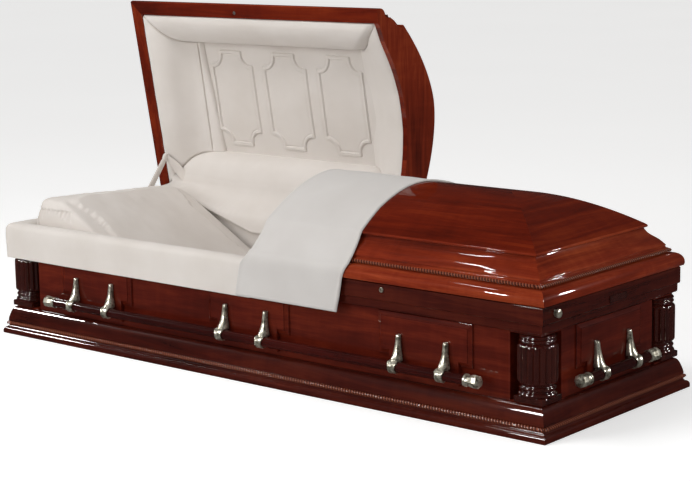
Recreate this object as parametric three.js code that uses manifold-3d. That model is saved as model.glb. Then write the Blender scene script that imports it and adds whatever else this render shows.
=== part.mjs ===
// Half-couch hardwood burial casket, head cap open and foot cap shut.
// Millimetres. +X is the foot end, -Y the front long side, +Z up. The origin is the centre of the underside.
// "inset" is always the distance in from the outer edge of the base, so one number places a face on all four sides.

import * as THREE from 'three';
import { mergeVertices } from 'three/addons/utils/BufferGeometryUtils.js';
import Module from 'manifold-3d';

const wasm = await Module();
wasm.setup();

// Driving dimensions
const LENGTH = 2134;
const WIDTH = 728;
const BASE_TOP = 87;
const BASE_INNER = 72;
const PLATE = 4;
const FLOOR = 20;
const BOARD_FACE = 45;
const BOARD_THICK = 20;
const NOTCH = 140;
const WALL_HEIGHT = 188.5;
const RIM_HEIGHT = 73.5;
const RIM_INNER = 70;
const FRIEZE = 24;
const LID_GAP = 4;
const LID_MOULDING = 118;
const CROWN_RISE = 107;
const CROWN_INSET = 91;
const CUT = 38;
const CUT_GAP = 4;
const HEADER = 18;
const LID_THICK = 16;
const HINGE_INSET = 7;
const LID_OPEN = THREE.MathUtils.degToRad(80.2);
const COLUMN_INSET = 72;
const REEDS = 16;
const BAR_RADIUS = 14.5;
const BAR_INSET = 10;
const BAR_ABOVE_BASE = 43;
const BAR_MARGIN = 259;
const END_BAR_MARGIN = 217;
const TIP_LENGTH = 50;
const PAIR_MARGIN = 417;
const ARM_HALF_SPREAD = 80;
const PANEL_WIDTH = 320;
const PANEL_ABOVE_BASE = 66;
const PANEL_BELOW_RIM = 1.5;
const BLOCK_FACE = 34;
const MATTRESS_THICK = 160;
const PILLOW_LENGTH = 552;
const STAY_LENGTH = 196;
const STAY_WIDTH = 18;
const STAY_FROM_HEAD = 82;
const STAY_FROM_BACK = 164;
const CAP_INSET = 150;
const OVERLAY_RUN = 360;
const HINGE_MARGIN = 117;
const GAP = 0.3;

const HALF_L = LENGTH / 2;
const HALF_W = WIDTH / 2;
const RIM_BOTTOM = BASE_TOP + WALL_HEIGHT;
const RIM_TOP = RIM_BOTTOM + RIM_HEIGHT;
const LID_BOTTOM = RIM_TOP + LID_GAP;
const CROWN_EDGE = LID_BOTTOM + LID_MOULDING;
const HINGE_Y = HALF_W - HINGE_INSET;
const HINGE_Z = RIM_TOP;
const BAR_Z = BASE_TOP + BAR_ABOVE_BASE;
const MATTRESS_TOP = FLOOR + MATTRESS_THICK;
const CROWN_RUN = HALF_W - CROWN_INSET;

const cherry = { color: 0x5c1d12, roughness: 0.22, metalness: 0 };
const cherryLid = { color: 0x74291a, roughness: 0.18, metalness: 0 };
const cherryDark = { color: 0x3c130f, roughness: 0.25, metalness: 0 };
const cherryBar = { color: 0x33100c, roughness: 0.15, metalness: 0 };
const pewter = { color: 0xa79a7c, roughness: 0.28, metalness: 1 };
const ivory = { color: 0xe6ddd0, roughness: 0.9, metalness: 0 };
const ivoryThrow = { color: 0xdcd7d1, roughness: 0.9, metalness: 0 };

// Closed-mesh helpers

function welded(geometry) {
  const plain = geometry.clone();
  plain.deleteAttribute('normal');
  plain.deleteAttribute('uv');
  const merged = mergeVertices(plain, 1e-3);
  const index = merged.index.array;
  const p = merged.attributes.position;
  const kept = [];
  for (let k = 0; k < index.length; k += 3) {
    const [a, b, c] = [index[k], index[k + 1], index[k + 2]];
    if (a !== b && b !== c && c !== a) kept.push(a, b, c);
  }
  const [va, vb, vc] = [new THREE.Vector3(), new THREE.Vector3(), new THREE.Vector3()];
  let volume = 0;
  for (let k = 0; k < kept.length; k += 3) {
    va.fromBufferAttribute(p, kept[k]);
    vb.fromBufferAttribute(p, kept[k + 1]);
    vc.fromBufferAttribute(p, kept[k + 2]);
    volume += va.dot(vb.cross(vc));
  }
  if (volume < 0) {
    for (let k = 0; k < kept.length; k += 3) [kept[k + 1], kept[k + 2]] = [kept[k + 2], kept[k + 1]];
  }
  const out = new THREE.BufferGeometry();
  out.setAttribute('position', new THREE.BufferAttribute(new Float32Array(p.array), 3));
  out.setIndex(kept);
  return out;
}

function solid(geometry) {
  const g = welded(geometry);
  return new wasm.Manifold(new wasm.Mesh({
    numProp: 3,
    vertProperties: g.attributes.position.array,
    triVerts: new Uint32Array(g.index.array),
  }));
}

function geometryOf(manifold) {
  const mesh = manifold.getMesh();
  const g = new THREE.BufferGeometry();
  g.setAttribute('position', new THREE.BufferAttribute(new Float32Array(mesh.vertProperties), 3));
  g.setIndex(Array.from(mesh.triVerts));
  return g;
}

const joined = (...parts) => parts.map(solid).reduce((a, b) => a.add(b));

function polygon(points) {
  return new THREE.Shape(points.map(([a, b]) => new THREE.Vector2(a, b)));
}

function eachVertex(geometry, place) {
  const p = geometry.attributes.position;
  for (let k = 0; k < p.count; k += 1) {
    const [x, y, z] = place(p.getX(k), p.getY(k), p.getZ(k));
    p.setXYZ(k, x, y, z);
  }
  return geometry;
}

function prism(shape, depth) {
  return new THREE.ExtrudeGeometry(shape, { depth, bevelEnabled: false, curveSegments: 6 });
}

function boxBetween(x0, x1, y0, y1, z0, z1) {
  return new THREE.BoxGeometry(x1 - x0, y1 - y0, z1 - z0)
    .translate((x0 + x1) / 2, (y0 + y1) / 2, (z0 + z1) / 2);
}

// A moulding length: its (inset, z) section runs along one side between two end rules, each a function of the inset
const SIDES = {
  front: (inset, z, along) => [along, inset - HALF_W, z],
  back: (inset, z, along) => [along, HALF_W - inset, z],
  head: (inset, z, along) => [inset - HALF_L, along, z],
  foot: (inset, z, along) => [HALF_L - inset, along, z],
};

function moulding(section, side, from, to) {
  return eachVertex(prism(polygon(section), 1), (inset, z, t) =>
    SIDES[side](inset, z, from(inset) * (1 - t) + to(inset) * t));
}

function mitred(section, side, gap = 0.25) {
  const half = side === 'front' || side === 'back' ? HALF_L : HALF_W;
  return moulding(section, side, (inset) => inset - half + gap, (inset) => half - inset - gap);
}

// A solid through a stack of rectangles [x0, x1, y0, y1, z]; a looped stack closes on its first ring
function rectangles(rings, looped = false) {
  const points = [];
  for (const [x0, x1, y0, y1, z] of rings) points.push(x0, y0, z, x1, y0, z, x1, y1, z, x0, y1, z);
  const faces = [];
  const last = looped ? rings.length : rings.length - 1;
  for (let k = 0; k < last; k += 1) {
    const [a, b] = [4 * k, 4 * ((k + 1) % rings.length)];
    for (let s = 0; s < 4; s += 1) {
      const t = (s + 1) % 4;
      faces.push(a + s, a + t, b + t, a + s, b + t, b + s);
    }
  }
  if (!looped) {
    const top = 4 * (rings.length - 1);
    faces.push(0, 2, 1, 0, 3, 2, top, top + 1, top + 2, top, top + 2, top + 3);
  }
  const g = new THREE.BufferGeometry();
  g.setAttribute('position', new THREE.Float32BufferAttribute(points, 3));
  g.setIndex(faces);
  return g;
}

function along(table, value) {
  const last = table.length - 1;
  if (value <= table[0][0]) return table[0][1];
  if (value >= table[last][0]) return table[last][1];
  const k = table.findIndex(([key]) => key > value);
  const [a, b] = [table[k - 1], table[k]];
  return a[1] + (b[1] - a[1]) * (value - a[0]) / (b[0] - a[0]);
}

const root = new THREE.Group();

function add(name, geometry, look, parent = root) {
  const closed = geometry.isBufferGeometry ? welded(geometry) : geometryOf(geometry);
  closed.computeVertexNormals();
  const mesh = new THREE.Mesh(closed, new THREE.MeshStandardMaterial(look));
  mesh.name = name;
  parent.add(mesh);
  return mesh;
}

// Base: a bottom board inside four mitred lengths of base moulding
const baseSection = [
  [1, 0], [1, 7], [2, 13], [4, 17.5], [11, 20.5], [11, 24.5], [9.5, 28], [9.5, 34], [14, 38],
  [17, BASE_TOP - 31], [20, BASE_TOP - 21], [24, BASE_TOP - 11], [29, BASE_TOP - 3.5], [35, BASE_TOP],
  [BASE_INNER, BASE_TOP], [BASE_INNER, 0],
];
const inner = BASE_INNER + GAP;
add('bottom_board', boxBetween(inner - HALF_L, HALF_L - inner, inner - HALF_W, HALF_W - inner, 0, FLOOR), cherryDark);
for (const side of Object.keys(SIDES)) add(`base_moulding_${side}`, mitred(baseSection, side), cherry);

// Body walls: fielded panels and scroll-topped handle blocks stand on the boards
const boardLow = BASE_TOP + GAP;
const boardHigh = RIM_BOTTOM - GAP;
const boardInner = BOARD_FACE + BOARD_THICK;
const notchInner = NOTCH + BOARD_THICK;

function facing(side, centre, face) {
  return (u, v, out) => SIDES[side](face - out, v, centre + u);
}

function fieldedPanel(side, centre, width, raise) {
  const bevel = 12;
  const [low, high] = [BASE_TOP + PANEL_ABOVE_BASE, RIM_BOTTOM - PANEL_BELOW_RIM];
  const g = rectangles([
    [-width / 2, width / 2, low, high, -1],
    [-width / 2, width / 2, low, high, raise - 5],
    [bevel - width / 2, width / 2 - bevel, low + bevel, high - bevel, raise],
  ]);
  return eachVertex(g, facing(side, centre, BOARD_FACE));
}

function scrollBlock(side, centre) {
  const half = [[0, 73], [22, 72], [40, 67], [50, 60], [62, 56], [98, 56], [112, 52], [118, 43], [118, -30]];
  const outline = [...half, ...half.slice(1).reverse().map(([u, v]) => [-u, v])].map(([u, v]) => [u, BAR_Z + v]);
  const g = prism(polygon(outline), BOARD_FACE - BLOCK_FACE + 1).translate(0, 0, -1);
  return eachVertex(g, facing(side, centre, BOARD_FACE));
}

function dressed(board, side, centres) {
  for (const centre of centres) {
    board = board.add(solid(fieldedPanel(side, centre, PANEL_WIDTH, 8))).add(solid(scrollBlock(side, centre)));
  }
  return board;
}

const pairPitch = HALF_L - PAIR_MARGIN;
const pairs = [-pairPitch, 0, pairPitch];

// A long side turns in at both ends and forms the inner wall of each corner recess
function longSide(side) {
  const sign = side === 'front' ? -1 : 1;
  const end = HALF_L - NOTCH;
  const [face, back, turn] = [HALF_W - BOARD_FACE, HALF_W - boardInner, HALF_W - notchInner];
  const plan = [
    [-end, face], [end, face], [end, turn], [end - BOARD_THICK, turn], [end - BOARD_THICK, back],
    [BOARD_THICK - end, back], [BOARD_THICK - end, turn], [-end, turn],
  ].map(([x, y]) => [x, sign * y]);
  const wall = prism(polygon(plan), boardHigh - boardLow).translate(0, 0, boardLow);
  return dressed(solid(wall), side, pairs);
}

// An end wall carries the floor and ceiling plates of the two corner recesses beside it
function endWall(side) {
  const sign = side === 'head' ? -1 : 1;
  const end = HALF_W - NOTCH;
  const [face, back, turn] = [HALF_L - BOARD_FACE, HALF_L - boardInner, HALF_L - NOTCH + GAP];
  const plan = [
    [face, -end], [face, end], [turn, end], [turn, end - BOARD_THICK], [back, end - BOARD_THICK],
    [back, BOARD_THICK - end], [turn, BOARD_THICK - end], [turn, -end],
  ].map(([x, y]) => [sign * x, y]);
  let wall = solid(prism(polygon(plan), boardHigh - boardLow).translate(0, 0, boardLow));
  const reach = (x, y, z) => {
    const [xa, xb] = [sign * turn, sign * x].sort((a, b) => a - b);
    const [ya, yb] = [y * (end - 1), y * (HALF_W - (HALF_L - x))].sort((a, b) => a - b);
    return solid(boxBetween(xa, xb, ya, yb, z, z + PLATE));
  };
  for (const y of [-1, 1]) {
    wall = wall.add(reach(HALF_L - 36, y, boardLow)).add(reach(HALF_L - 40, y, boardHigh - PLATE));
  }
  return dressed(wall, side, [0]);
}

add('side_wall_front', longSide('front'), cherry);
add('side_wall_back', longSide('back'), cherry);
add('end_wall_head', endWall('head'), cherry);
add('end_wall_foot', endWall('foot'), cherry);

// Corner columns: square plinth, ringed base, reeded shaft with rounded ends, ringed cap
const columnLow = boardLow + PLATE + GAP;
const columnHigh = boardHigh - PLATE - GAP;
const plinthHigh = columnLow + 17.4;
const shaftLow = plinthHigh + 38;
const shaftHigh = columnHigh - 29;
const columnRings = [
  [0, plinthHigh - 2], [44, plinthHigh - 2], [48, plinthHigh + 3.5], [48, plinthHigh + 9], [43, plinthHigh + 13.5],
  [46, plinthHigh + 21], [42, plinthHigh + 29], [50, shaftLow], [50, shaftHigh], [42, shaftHigh + 7.5],
  [46, columnHigh - 15], [42.5, columnHigh - 8.5], [46.5, columnHigh - 4], [45, columnHigh], [0, columnHigh],
];

function column() {
  const profile = columnRings.map(([r, z]) => new THREE.Vector2(r, z));
  const turned = new THREE.LatheGeometry(profile, 2 * REEDS).rotateX(Math.PI / 2);
  eachVertex(turned, (x, y, z) => {
    const shaft = z > shaftLow - 1 && z < shaftHigh + 1;
    const step = Math.round(Math.atan2(y, x) / (Math.PI / REEDS));
    const scale = shaft && step % 2 !== 0 ? 0.89 : 1;
    return [x * scale, y * scale, z];
  });
  const plinth = boxBetween(-45, 45, -45, 45, columnLow, plinthHigh);
  return joined(plinth, turned);
}

const columnSolid = column();
for (const [endName, sx] of [['head', -1], ['foot', 1]]) {
  for (const [sideName, sy] of [['front', -1], ['back', 1]]) {
    const mesh = add(`column_${endName}_${sideName}`, columnSolid, cherryDark);
    mesh.position.set(sx * (HALF_L - COLUMN_INSET), sy * (HALF_W - COLUMN_INSET), 0);
  }
}

// Rim: a stepped cap and a plain frieze, mitred round the top of the body
const rimSection = [
  [RIM_INNER, RIM_BOTTOM], [38.7, RIM_BOTTOM], [29.5, RIM_BOTTOM + 4], [29.5, RIM_TOP - 48], [FRIEZE, RIM_TOP - 45],
  [FRIEZE, RIM_TOP - 1.5], [FRIEZE + 1.5, RIM_TOP], [RIM_INNER, RIM_TOP],
];
for (const side of Object.keys(SIDES)) add(`rim_moulding_${side}`, mitred(rimSection, side), cherry);

// Handles: a fixed round bar held by cast arms in pairs, a cast tip on each end
const barOut = BLOCK_FACE - BAR_INSET;

function armGeometry() {
  const ring = (radius, from, to, count) => Array.from({ length: count + 1 }, (_, k) => {
    const angle = THREE.MathUtils.degToRad(from + (to - from) * k / count);
    return [barOut + radius * Math.cos(angle), BAR_Z + radius * Math.sin(angle)];
  });
  const outline = [
    [GAP, BAR_Z + 86], [GAP, BAR_Z + 20], [4, BAR_Z + 16], ...ring(BAR_RADIUS + 4.5, 144, 396, 7),
    [32, BAR_Z + 18.5], [25, BAR_Z + 32], [18, BAR_Z + 54], [14.5, BAR_Z + 73], [13.5, BAR_Z + 82], [10.5, BAR_Z + 86],
  ];
  const shape = polygon(outline);
  shape.holes.push(new THREE.Path(ring(BAR_RADIUS + 1.4, 0, 324, 9).map(([a, b]) => new THREE.Vector2(a, b))));
  const halfWidth = [[0, 12.5], [20, 14.5], [42, 9], [66, 6.5]];
  return eachVertex(prism(shape, 2).translate(0, 0, -1), (out, z, t) => [t * along(halfWidth, z - BAR_Z), z, out]);
}

function tipGeometry() {
  const profile = [[0, 0], [17, 0], [17, 8], [14, 12], [17.5, 27], [17, 42], [9, TIP_LENGTH], [0, TIP_LENGTH]];
  return new THREE.LatheGeometry(profile.map(([r, s]) => new THREE.Vector2(r, s)), 8);
}

function handle(side, half, centres) {
  const bar = new THREE.CylinderGeometry(BAR_RADIUS, BAR_RADIUS, 2 * half, 12).rotateZ(Math.PI / 2);
  add(`handle_bar_${side}`, eachVertex(bar, (x, y, z) => SIDES[side](BAR_INSET + z, BAR_Z + y, x)), cherryBar);
  const ends = side === 'front' || side === 'back' ? ['head', 'foot'] : ['front', 'back'];
  ends.forEach((end, k) => {
    const sign = k === 0 ? -1 : 1;
    const tip = eachVertex(tipGeometry(), (x, y, z) => SIDES[side](BAR_INSET + z, BAR_Z + x, sign * (half + GAP + y)));
    add(`bar_tip_${side}_${end}`, tip, pewter);
  });
  centres.forEach((centre, k) => {
    const arm = eachVertex(armGeometry(), facing(side, centre, BLOCK_FACE));
    add(`handle_arm_${side}_${k + 1}`, arm, pewter);
  });
}

const sideArms = pairs.flatMap((x) => [x - ARM_HALF_SPREAD, x + ARM_HALF_SPREAD]);
handle('front', HALF_L - BAR_MARGIN, sideArms);
handle('back', HALF_L - BAR_MARGIN, sideArms);
handle('head', HALF_W - END_BAR_MARGIN, [-ARM_HALF_SPREAD, ARM_HALF_SPREAD]);
handle('foot', HALF_W - END_BAR_MARGIN, [-ARM_HALF_SPREAD, ARM_HALF_SPREAD]);

// Small fittings on the frieze
const frieze = FRIEZE - GAP;

function knob(side, centre, z, profile, segments) {
  const turned = new THREE.LatheGeometry(profile.map(([r, s]) => new THREE.Vector2(r, s)), segments);
  return eachVertex(turned, (x, y, w) => SIDES[side](frieze - y, z + x, centre + w));
}

add('record_tube_cap', knob('foot', 81 - HALF_W, RIM_TOP - 21, [[0, 0], [9, 0], [9, 5], [11.5, 7], [11.5, 13], [6, 16], [0, 16]], 14), pewter);
add('key_lock', knob('front', CUT + 479, RIM_TOP - 16, [[0, 0], [7, 0], [7, 3], [4, 3], [4, 2], [0, 2]], 12), pewter);
add('name_plate', eachVertex(prism(polygon([[-27, RIM_TOP - 41], [57, RIM_TOP - 41], [57, RIM_TOP - 22], [-27, RIM_TOP - 22]]), 1.5),
  (u, v, out) => SIDES.foot(frieze - out, v, u)), cherryDark);

// Soft fittings of the body: mattress, pillow, wall lining and the skirt folded over the rim
const matIn = 79;
const matNotch = notchInner + 3;
const corner = (sx, sy) => {
  const points = [[HALF_L - matIn, HALF_W - matNotch], [HALF_L - matNotch, HALF_W - matNotch], [HALF_L - matNotch, HALF_W - matIn]];
  const placed = points.map(([x, y]) => [sx * x, sy * y]);
  return sx * sy > 0 ? placed : placed.reverse();
};
const matPlan = [...corner(1, 1), ...corner(-1, 1), ...corner(-1, -1), ...corner(1, -1)];
add('mattress', prism(polygon(matPlan), MATTRESS_TOP - FLOOR - GAP).translate(0, 0, FLOOR + GAP), ivory);

// Its rise by distance from the head end, and the most it rises by distance from a side
const pillowStart = 95;
const pillowInset = 89;
const pillowRise = [
  [pillowStart, 120], [112, 166], [137, 188], [177, 222], [217, 240], [267, 215], [317, 180], [417, 120],
  [527, 68], [607, 32], [pillowStart + PILLOW_LENGTH, 14],
];
const pillowEdge = [[pillowInset, 130], [102, 160], [124, 178], [144, 195], [164, 216], [194, 245]];

function pillow() {
  const ball = new THREE.SphereGeometry(1, 20, 10).rotateX(Math.PI / 2);
  return eachVertex(ball, (x, y, z) => {
    const flat = Math.hypot(x, y);
    const full = flat > 1e-6 ? flat / (x ** 4 + y ** 4) ** 0.25 : 1;
    const px = pillowStart - HALF_L + PILLOW_LENGTH * (1 + x * full) / 2;
    const py = (HALF_W - pillowInset) * y * full;
    const rise = Math.min(along(pillowRise, px + HALF_L), along(pillowEdge, HALF_W - Math.abs(py)));
    const height = z > 0 ? rise * (1 - (1 - z) ** 3) : 6 * (1 + z) - 6;
    return [px, py, MATTRESS_TOP + 7 + height];
  });
}

// The pillow lies over the backs of the two head-end corner recesses
let pillowSolid = solid(pillow());
for (const s of [-1, 1]) {
  const [y0, y1] = [(HALF_W - notchInner - 2) * s, HALF_W * s].sort((a, b) => a - b);
  pillowSolid = pillowSolid.subtract(solid(boxBetween(-HALF_L, notchInner + 2 - HALF_L, y0, y1, 100, RIM_BOTTOM + 3)));
}
add('pillow', pillowSolid, ivory);

const liningFace = 76;
const liningHigh = RIM_TOP - 0.5;
const liningLow = RIM_BOTTOM + 7.5;
const liningBack = RIM_INNER + GAP;
const liningRing = rectangles([
  [liningBack, liningLow], [liningBack, liningHigh], [liningFace, liningHigh], [liningFace, liningLow],
].map(([inset, z]) => [inset - HALF_L, HALF_L - inset, inset - HALF_W, HALF_W - inset, z]), true);
let lining = solid(liningRing);
for (const s of [-1, 1]) {
  const [x0, x1] = [HALF_L - liningFace, HALF_L - liningBack].map((x) => s * x).sort((a, b) => a - b);
  const [y0, y1] = [HALF_W - liningFace, HALF_W - liningBack].map((y) => s * y).sort((a, b) => a - b);
  const [ex, ey] = [HALF_L - matNotch, HALF_W - matNotch];
  lining = lining.add(solid(boxBetween(-ex, ex, y0, y1, MATTRESS_TOP + 4, liningLow + 7)));
  lining = lining.add(solid(boxBetween(x0, x1, -ey, ey, MATTRESS_TOP + 4, liningLow + 7)));
}
add('body_lining', lining, ivory);

const skirtDrop = 99;
const skirtSection = [
  [FRIEZE - 4.5, RIM_TOP - skirtDrop], [FRIEZE - 0.5, RIM_TOP - skirtDrop], [FRIEZE - 0.5, RIM_TOP + GAP],
  [RIM_INNER - 1, RIM_TOP + GAP], [RIM_INNER - 1, RIM_TOP + 2], [FRIEZE - 4.5, RIM_TOP + 2],
];
const skirtFront = moulding(skirtSection, 'front', (i) => i - HALF_L, () => CUT - 10);
const skirtHead = moulding(skirtSection, 'head', (i) => i - HALF_W, (i) => HALF_W - i);
add('skirt', joined(skirtFront, skirtHead), ivory);

// Lids: bullnose, rope bead, cove and lipped crown outside, with hips at the closed end, hollow inside
const lidSection = [
  ...[[17, 0], [15, 9], [17, 20], [22, 29], [29, 34.5], [36, 37], [41.5, 38], [43, 44.5], [41.5, 51], [53, 52],
    [54, 57], [56.5, 63], [60, 67]].map(([inset, rise]) => [inset, LID_BOTTOM + rise]),
  ...[[-23, 41.5], [-10, 31], [-0.5, 22], [5, 14], [8, 7.5], [1, 6.5], [-0.5, 4], [0, 0]]
    .map(([inset, drop]) => [CROWN_INSET + inset, CROWN_EDGE - drop]),
];
const crownAt = (d) => CROWN_EDGE + CROWN_RISE * (1 - (1 - d / CROWN_RUN) ** 1.75);
const crownSteps = [10, 28, 55, 90, 130, 180, 230, CROWN_RUN];
const lidInside = [
  ...[[60, -13], [60, 0], [62, 42], [72, 55]].map(([inset, rise]) => [inset, LID_BOTTOM + rise]),
  ...[[-7, 45], [6, 32], [17, 21], [22, 9], [27, -3]].map(([inset, drop]) => [CROWN_INSET + inset, CROWN_EDGE - drop]),
  ...[55, 90, 130, 180, 230, CROWN_RUN].map((d) => [CROWN_INSET + d, crownAt(d) - LID_THICK - d * 0.01]),
];
const archRise = 78;
const archHalf = [[0, 1], [0.164, 0.975], [0.253, 0.923], [0.428, 0.77], [0.6, 0.55], [0.8, 0.244], [0.954, 0.077], [1, 0]]
  .map(([share, rise]) => [share * (HALF_W - 60), LID_BOTTOM + rise * archRise]);
const archFoot = [[HALF_W - 60, LID_BOTTOM - 23], [60 - HALF_W, LID_BOTTOM - 23]];
const archShape = polygon([...archHalf, ...archFoot, ...archHalf.slice(1).reverse().map(([y, z]) => [-y, z])]);

function archPrism(x0, x1) {
  return eachVertex(prism(archShape, x1 - x0), (y, z, t) => [x0 + t, y, z]);
}

// sign is +1 for the lid at the foot end and -1 for the one at the head end
function lidLevels(section, cut, sign) {
  return section.map(([inset, z]) => {
    const [x0, x1] = [cut, sign * (HALF_L - inset)].sort((a, b) => a - b);
    return [x0, x1, inset - HALF_W, HALF_W - inset, z];
  });
}

function lid(sign) {
  const cut = CUT + sign * CUT_GAP / 2;
  const crown = crownSteps.map((d) => [CROWN_INSET + d, crownAt(d)]);
  const outside = solid(rectangles(lidLevels([...lidSection, ...crown], cut, sign)));
  const inside = solid(rectangles(lidLevels(lidInside, cut + sign * HEADER, sign)));
  const [x0, x1] = [cut - sign * 5, cut + sign * (HEADER + 5)].sort((a, b) => a - b);
  return outside.subtract(inside).subtract(solid(archPrism(x0, x1)));
}

add('foot_lid', lid(1), cherryLid);

// The overlay: a padded throw over the foot lid, from the front hem across the crown and down the back
const overlayPath = [
  ...[[15.5, -100], [14.4, -53], [13, -3], [12.4, 9], [14, 21], [19.5, 32], [27, 38.5]]
    .map(([inset, rise]) => [inset, LID_BOTTOM + rise]),
  ...[[-39, 49], [-7, 8], [-2.5, 1.5], [2, -2.2]].map(([inset, drop]) => [CROWN_INSET + inset, CROWN_EDGE - drop]),
  ...[10, 28, 55, 90, 130, 180, 230].map((d) => [CROWN_INSET + d, crownAt(d) + 0.8]),
];
const overlayThick = 4;

function overlay() {
  const front = overlayPath.map(([i, z]) => [i - HALF_W, z]);
  const back = overlayPath.slice(3).reverse().map(([i, z]) => [HALF_W - i, z]);
  const path = [...front, [-12, CROWN_EDGE + CROWN_RISE + 0.6], [12, CROWN_EDGE + CROWN_RISE + 0.6], ...back];
  const hem = [[-100, -60], [-53, -50], [-3, -36], [9, -26], [21, 3]];
  const edge = [[-100, -36], [-53, -23], [-3, -12], [37, 2], [112, 0]];
  const run = [[-HALF_W, 0], [-HALF_W / 2, -10], [-60, -4], [0, 10], [80, 32], [HALF_W, 38]];
  const left = (y, z) => CUT + (y < 0 ? along(hem, z - LID_BOTTOM) : 3);
  const right = (y, z) => {
    if (z < CROWN_EDGE - 6 && y < 0) return CUT + OVERLAY_RUN + along(edge, z - LID_BOTTOM);
    return CUT + OVERLAY_RUN + along(run, y);
  };
  const points = [];
  path.forEach(([y, z], k) => {
    const [a, b] = [path[Math.max(k - 1, 0)], path[Math.min(k + 1, path.length - 1)]];
    const run = Math.hypot(b[0] - a[0], b[1] - a[1]);
    const [ny, nz] = [-(b[1] - a[1]) / run, (b[0] - a[0]) / run];
    const [x0, x1] = [left(y, z), right(y, z)];
    const [oy, oz] = [y + ny * overlayThick, z + nz * overlayThick];
    points.push(x0, y, z, x1, y, z, x1, oy, oz, x0, oy, oz);
  });
  const faces = [];
  for (let k = 0; k < path.length - 1; k += 1) {
    for (let s = 0; s < 4; s += 1) {
      const [a, b, t] = [4 * k, 4 * (k + 1), (s + 1) % 4];
      faces.push(a + s, a + t, b + t, a + s, b + t, b + s);
    }
  }
  const end = 4 * (path.length - 1);
  faces.push(0, 2, 1, 0, 3, 2, end, end + 1, end + 2, end, end + 2, end + 3);
  const g = new THREE.BufferGeometry();
  g.setAttribute('position', new THREE.Float32BufferAttribute(points, 3));
  g.setIndex(faces);
  return g;
}

add('overlay', overlay(), ivoryThrow);

// The head lid hangs open on the hinge line at the back; its pieces are placed as if shut and turned together
const headLid = new THREE.Group();
headLid.position.set(0, HINGE_Y, HINGE_Z);
headLid.rotation.x = -LID_OPEN;
root.add(headLid);
const shut = new THREE.Group();
shut.position.set(0, -HINGE_Y, -HINGE_Z);
headLid.add(shut);

add('head_lid', lid(-1), cherryLid, shut);

// Upholstered roll round the inside of the head lid; it follows the arch of the header at the cut
const rollEnd = CUT - CUT_GAP / 2 - HEADER - GAP;
const rollRings = [
  [62.5, 62.5, 0, 5], [75, 75, 12, 1.5], [97, 97, 35, 5], [122, 124, 60, 14], [143, 145, 85, 29], [165, 160, 110, 52],
  [205, 166, 130, 75], [232, 168, 148, 87], [232, 168, 148, 99], [112, 112, 30, 94], [86, 86, 10, 71],
  [64.5, 64.5, 1, 41], [62.5, 62.5, 0, 32],
];
const rollStack = rollRings.map(([head, side, cutEnd, rise]) =>
  [head - HALF_L, rollEnd - cutEnd, side - HALF_W, HALF_W - side, LID_BOTTOM + rise]);
const flapLow = LID_BOTTOM - 2;
const flapEnd = rollEnd - 6;
const backFlap = boxBetween(92 - HALF_L, flapEnd, HALF_W - 72, HALF_W - 20, flapLow, LID_BOTTOM - GAP);
const flapRoot = boxBetween(92 - HALF_L, flapEnd, HALF_W - 72, HALF_W - 62.5, flapLow, LID_BOTTOM + 9);
const roll = joined(rectangles(rollStack, true), backFlap, flapRoot)
  .subtract(solid(archPrism(rollEnd - 152, CUT - CUT_GAP)));
add('lid_roll', roll, ivory, shut);

add('cap_panel', rectangles([[0, 99.4], [-4, 105], [2, 113]].map(([inset, rise]) => [
  CAP_INSET + 45 + inset - HALF_L, rollEnd + 32 - CAP_INSET - inset, CAP_INSET + inset - HALF_W, HALF_W - CAP_INSET - inset,
  LID_BOTTOM + rise,
])), ivory, shut);

add('lid_catch', boxBetween(CUT - 638, CUT - 598, 34 - HALF_W, 52 - HALF_W, LID_BOTTOM - 1.7, LID_BOTTOM - GAP),
  pewter, shut);

// Cloth-covered lid stay, hung from the lid at the head end
const stayHinge = new THREE.Group();
stayHinge.position.set(STAY_FROM_HEAD - HALF_L, HALF_W - STAY_FROM_BACK, LID_BOTTOM - 10);
stayHinge.rotation.x = THREE.MathUtils.degToRad(308.2);
shut.add(stayHinge);
const stayShape = new THREE.Shape();
stayShape.absarc(0, 0, STAY_WIDTH / 2, Math.PI / 2, 1.5 * Math.PI);
stayShape.absarc(STAY_LENGTH, 0, STAY_WIDTH / 2, -Math.PI / 2, Math.PI / 2);
add('lid_stay', eachVertex(prism(stayShape, 6).translate(0, 0, -3), (y, z, x) => [x, y, z]), ivory, stayHinge);

// One long hinge along the back: knuckle rod and the leaf let into the top of the rim
const rod = new THREE.CylinderGeometry(3.5, 3.5, LENGTH - 2 * HINGE_MARGIN, 10).rotateZ(Math.PI / 2).translate(0, HINGE_Y, HINGE_Z);
const leaf = boxBetween(HINGE_MARGIN + 2 - HALF_L, HALF_L - HINGE_MARGIN - 2, HALF_W - 52, HINGE_Y - 1, RIM_TOP + GAP, RIM_TOP + 1.3);
add('hinge_rod', joined(rod, leaf), pewter);

export default root;
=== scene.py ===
"""Looks of a half-couch hardwood casket: lacquered cherry, rope mouldings, cast handles and an upholstered inside."""
import math

import bmesh
import bpy
from mathutils import Matrix, Vector, noise


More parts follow.
